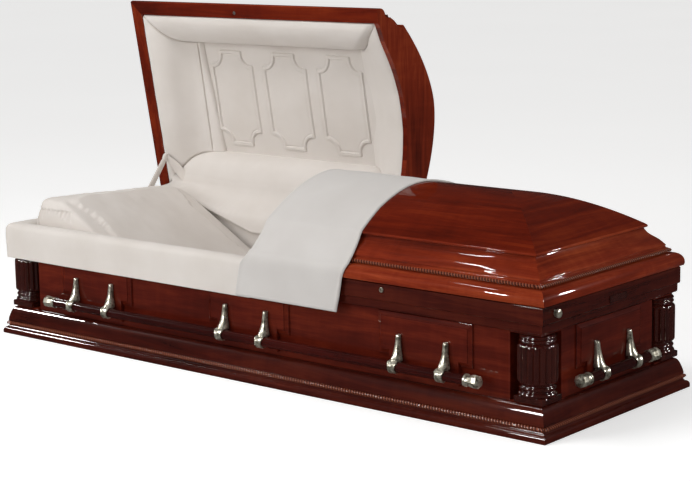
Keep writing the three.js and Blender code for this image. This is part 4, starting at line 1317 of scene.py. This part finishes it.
def apron():
    """A cloth that carries the head lid's padding over the hinge line and droops beside the pillow."""
    bm = bmesh.new()
    x0, x1 = -0.985, 0.012
    steps = 240

    def path_at(x):
        droop = min(max(along(APRON_EDGE, x), 0.300), 0.404)
        for (low, under), (high, over) in zip(APRON_FALLS, APRON_FALLS[1:]):
            if droop <= high:
                w = (droop - low) / (high - low)
                break
        fall = [(y0 + (y1 - y0) * w, z0 + (z1 - z0) * w) for (y0, z0), (y1, z1) in zip(under, over)]
        return flow(APRON_TOP + fall, 3)

    paths = [path_at(x0 + (x1 - x0) * j / steps) for j in range(steps + 1)]

    def place(i, j):
        x = x0 + (x1 - x0) * j / steps
        y, z = paths[j][i]
        free = ease((i - 5) / 10)
        sag = 0.0018 * noise.noise(Vector((x * 5, z * 8, 0))) + 0.0007 * noise.noise(Vector((x * 23, z * 7, 2)))
        gathers = 0.0006 * math.sin(math.tau * x / 0.031 + 9 * noise.noise(Vector((x * 6, z * 3, 4)))) * ease((i - 14) / 8)
        gathers *= 0.5 + noise.noise(Vector((x * 9, 0, 8)))
        tail = ease((len(paths[j]) - 1 - i) / 12)
        return Vector((x, y + (sag - gathers - 0.001) * free * tail, z + 0.5 * gathers * free * tail))

    grid(bm, len(paths[0]) - 1, steps, place)
    bmesh.ops.recalc_face_normals(bm, faces=bm.faces)
    cut = sum(f.calc_area() for f in bm.faces)
    bmesh.ops.solidify(bm, geom=bm.faces[:], thickness=0.0010)
    bmesh.ops.recalc_face_normals(bm, faces=bm.faces)
    made = piece("hinge_apron", bm, None, ivory_velvet, crease=60)
    longest = max(sum(math.dist(a, b) for a, b in zip(path, path[1:])) for path in paths)
    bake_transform(made)


apron()

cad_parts["bottom_board"].data.materials.clear()
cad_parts["bottom_board"].data.materials.append(cherry["x"])


# ---------------------------------------------------------------- floor, light and camera

def floor():
    bm = bmesh.new()
    bmesh.ops.create_grid(bm, x_segments=1, y_segments=1, size=60)
    made, tree, shader = material("pale_floor")
    place = node(tree, "ShaderNodeTexCoord")
    cloudy = stretched_noise(tree, place.outputs["Object"], (1, 1, 1), Scale=0.7, Detail=2)
    tree.links.new(ramp(tree, cloudy, (0.3, (0.86, 0.86, 0.86)), (0.7, (0.88, 0.88, 0.88))), shader.inputs["Base Color"])
    shader.inputs["Roughness"].default_value = 0.9
    shader.inputs["Specular IOR Level"].default_value = 0.1
    rays, unlit = node(tree, "ShaderNodeLightPath"), node(tree, "ShaderNodeBsdfDiffuse", Color=(0.06, 0.06, 0.06, 1))
    choose = node(tree, "ShaderNodeMixShader")
    tree.links.new(rays.outputs["Is Glossy Ray"], choose.inputs["Fac"])
    tree.links.new(shader.outputs["BSDF"], choose.inputs[1])
    tree.links.new(unlit.outputs["BSDF"], choose.inputs[2])
    glow = node(tree, "ShaderNodeEmission", Color=(1, 1, 1, 1))
    lifted = node(tree, "ShaderNodeMapRange")
    lifted.inputs["To Min"].default_value, lifted.inputs["To Max"].default_value = 0.0, 0.42
    tree.links.new(rays.outputs["Is Camera Ray"], lifted.inputs["Value"])
    tree.links.new(lifted.outputs["Result"], glow.inputs["Strength"])
    both = node(tree, "ShaderNodeAddShader")
    tree.links.new(choose.outputs["Shader"], both.inputs[0])
    tree.links.new(glow.outputs["Emission"], both.inputs[1])
    tree.links.new(both.outputs["Shader"], tree.nodes["Material Output"].inputs["Surface"])
    mesh = bpy.data.meshes.new("studio_floor")
    bm.to_mesh(mesh)
    bm.free()
    mesh.materials.append(made)
    obj = bpy.data.objects.new("studio_floor", mesh)
    bpy.context.scene.collection.objects.link(obj)


def softbox(name, place, aim, width, height, power, mirrored=True, lights=True):
    lamp = bpy.data.lights.new(name, "AREA")
    lamp.shape, lamp.size, lamp.size_y = "RECTANGLE", width, height
    lamp.energy = power
    obj = bpy.data.objects.new(name, lamp)
    obj.location = place
    obj.rotation_euler = (Vector(aim) - Vector(place)).to_track_quat("-Z", "Y").to_euler()
    obj.visible_glossy, obj.visible_diffuse = mirrored, lights
    bpy.context.scene.collection.objects.link(obj)


def studio():
    world = bpy.data.worlds.new("studio_air")
    bpy.context.scene.world = world
    world.use_nodes = True
    tree = world.node_tree
    air = tree.nodes["Background"]
    air.inputs["Color"].default_value = (1, 0.99, 0.975, 1)
    rays = node(tree, "ShaderNodeLightPath")
    dim = node(tree, "ShaderNodeMapRange")
    dim.inputs["To Min"].default_value, dim.inputs["To Max"].default_value = 0.46, 0.03
    tree.links.new(rays.outputs["Is Glossy Ray"], dim.inputs["Value"])
    tree.links.new(dim.outputs["Result"], air.inputs["Strength"])
    softbox("overhead_box", (-0.6, -1.3, 3.1), (-0.1, -0.1, 0.3), 1.8, 0.8, 28, mirrored=False)
    softbox("front_box", (-2.6, -4.6, 2.3), (-0.1, 0, 0.4), 2.6, 2.2, 98, mirrored=False)
    softbox("foot_box", (4.6, -0.6, 2.4), (0.6, 0, 0.3), 1.4, 1.2, 28, mirrored=False)
    softbox("overhead_strip", (-1.10, -1.3, 3.1), (0.5, -0.3, 0.3), 0.55, 0.12, 7, lights=False)
    for number, (x, y, width, power) in enumerate([(-3.8, -2.0, 0.3, 80), (-1.71, -4.6, 0.8, 90), (1.2, -5.3, 0.5, 110),
                                                   (5.2, 0.9, 0.35, 80), (3.9, 2.65, 0.3, 80)]):
        softbox(f"window_{number + 1}", (x, y, 2.1), (0.3, 0, 0.3), width, 0.45, power, lights=False)


def camera():
    yaw, pitch, roll = (math.radians(a) for a in (40.36, 10.21, -0.95))
    forward = Vector((-math.sin(yaw) * math.cos(pitch), math.cos(yaw) * math.cos(pitch), -math.sin(pitch)))
    level = Vector((math.cos(yaw), math.sin(yaw), 0))
    upright = level.cross(forward)
    right = math.cos(roll) * level + math.sin(roll) * upright
    up = right.cross(forward)
    lens = bpy.data.cameras.new("studio_camera")
    lens.sensor_width, lens.lens = 36, 96.92
    lens.shift_x, lens.shift_y = -0.0043, -0.0079
    lens.clip_end = 200
    obj = bpy.data.objects.new("studio_camera", lens)
    turn = Matrix((right, up, -forward)).transposed()
    obj.matrix_world = Matrix.Translation((3.650, -4.159, 1.375)) @ turn.to_4x4()
    bpy.context.scene.collection.objects.link(obj)
    bpy.context.scene.camera = obj


floor()
studio()
camera()
bpy.context.scene.view_settings.view_transform = "Standard"
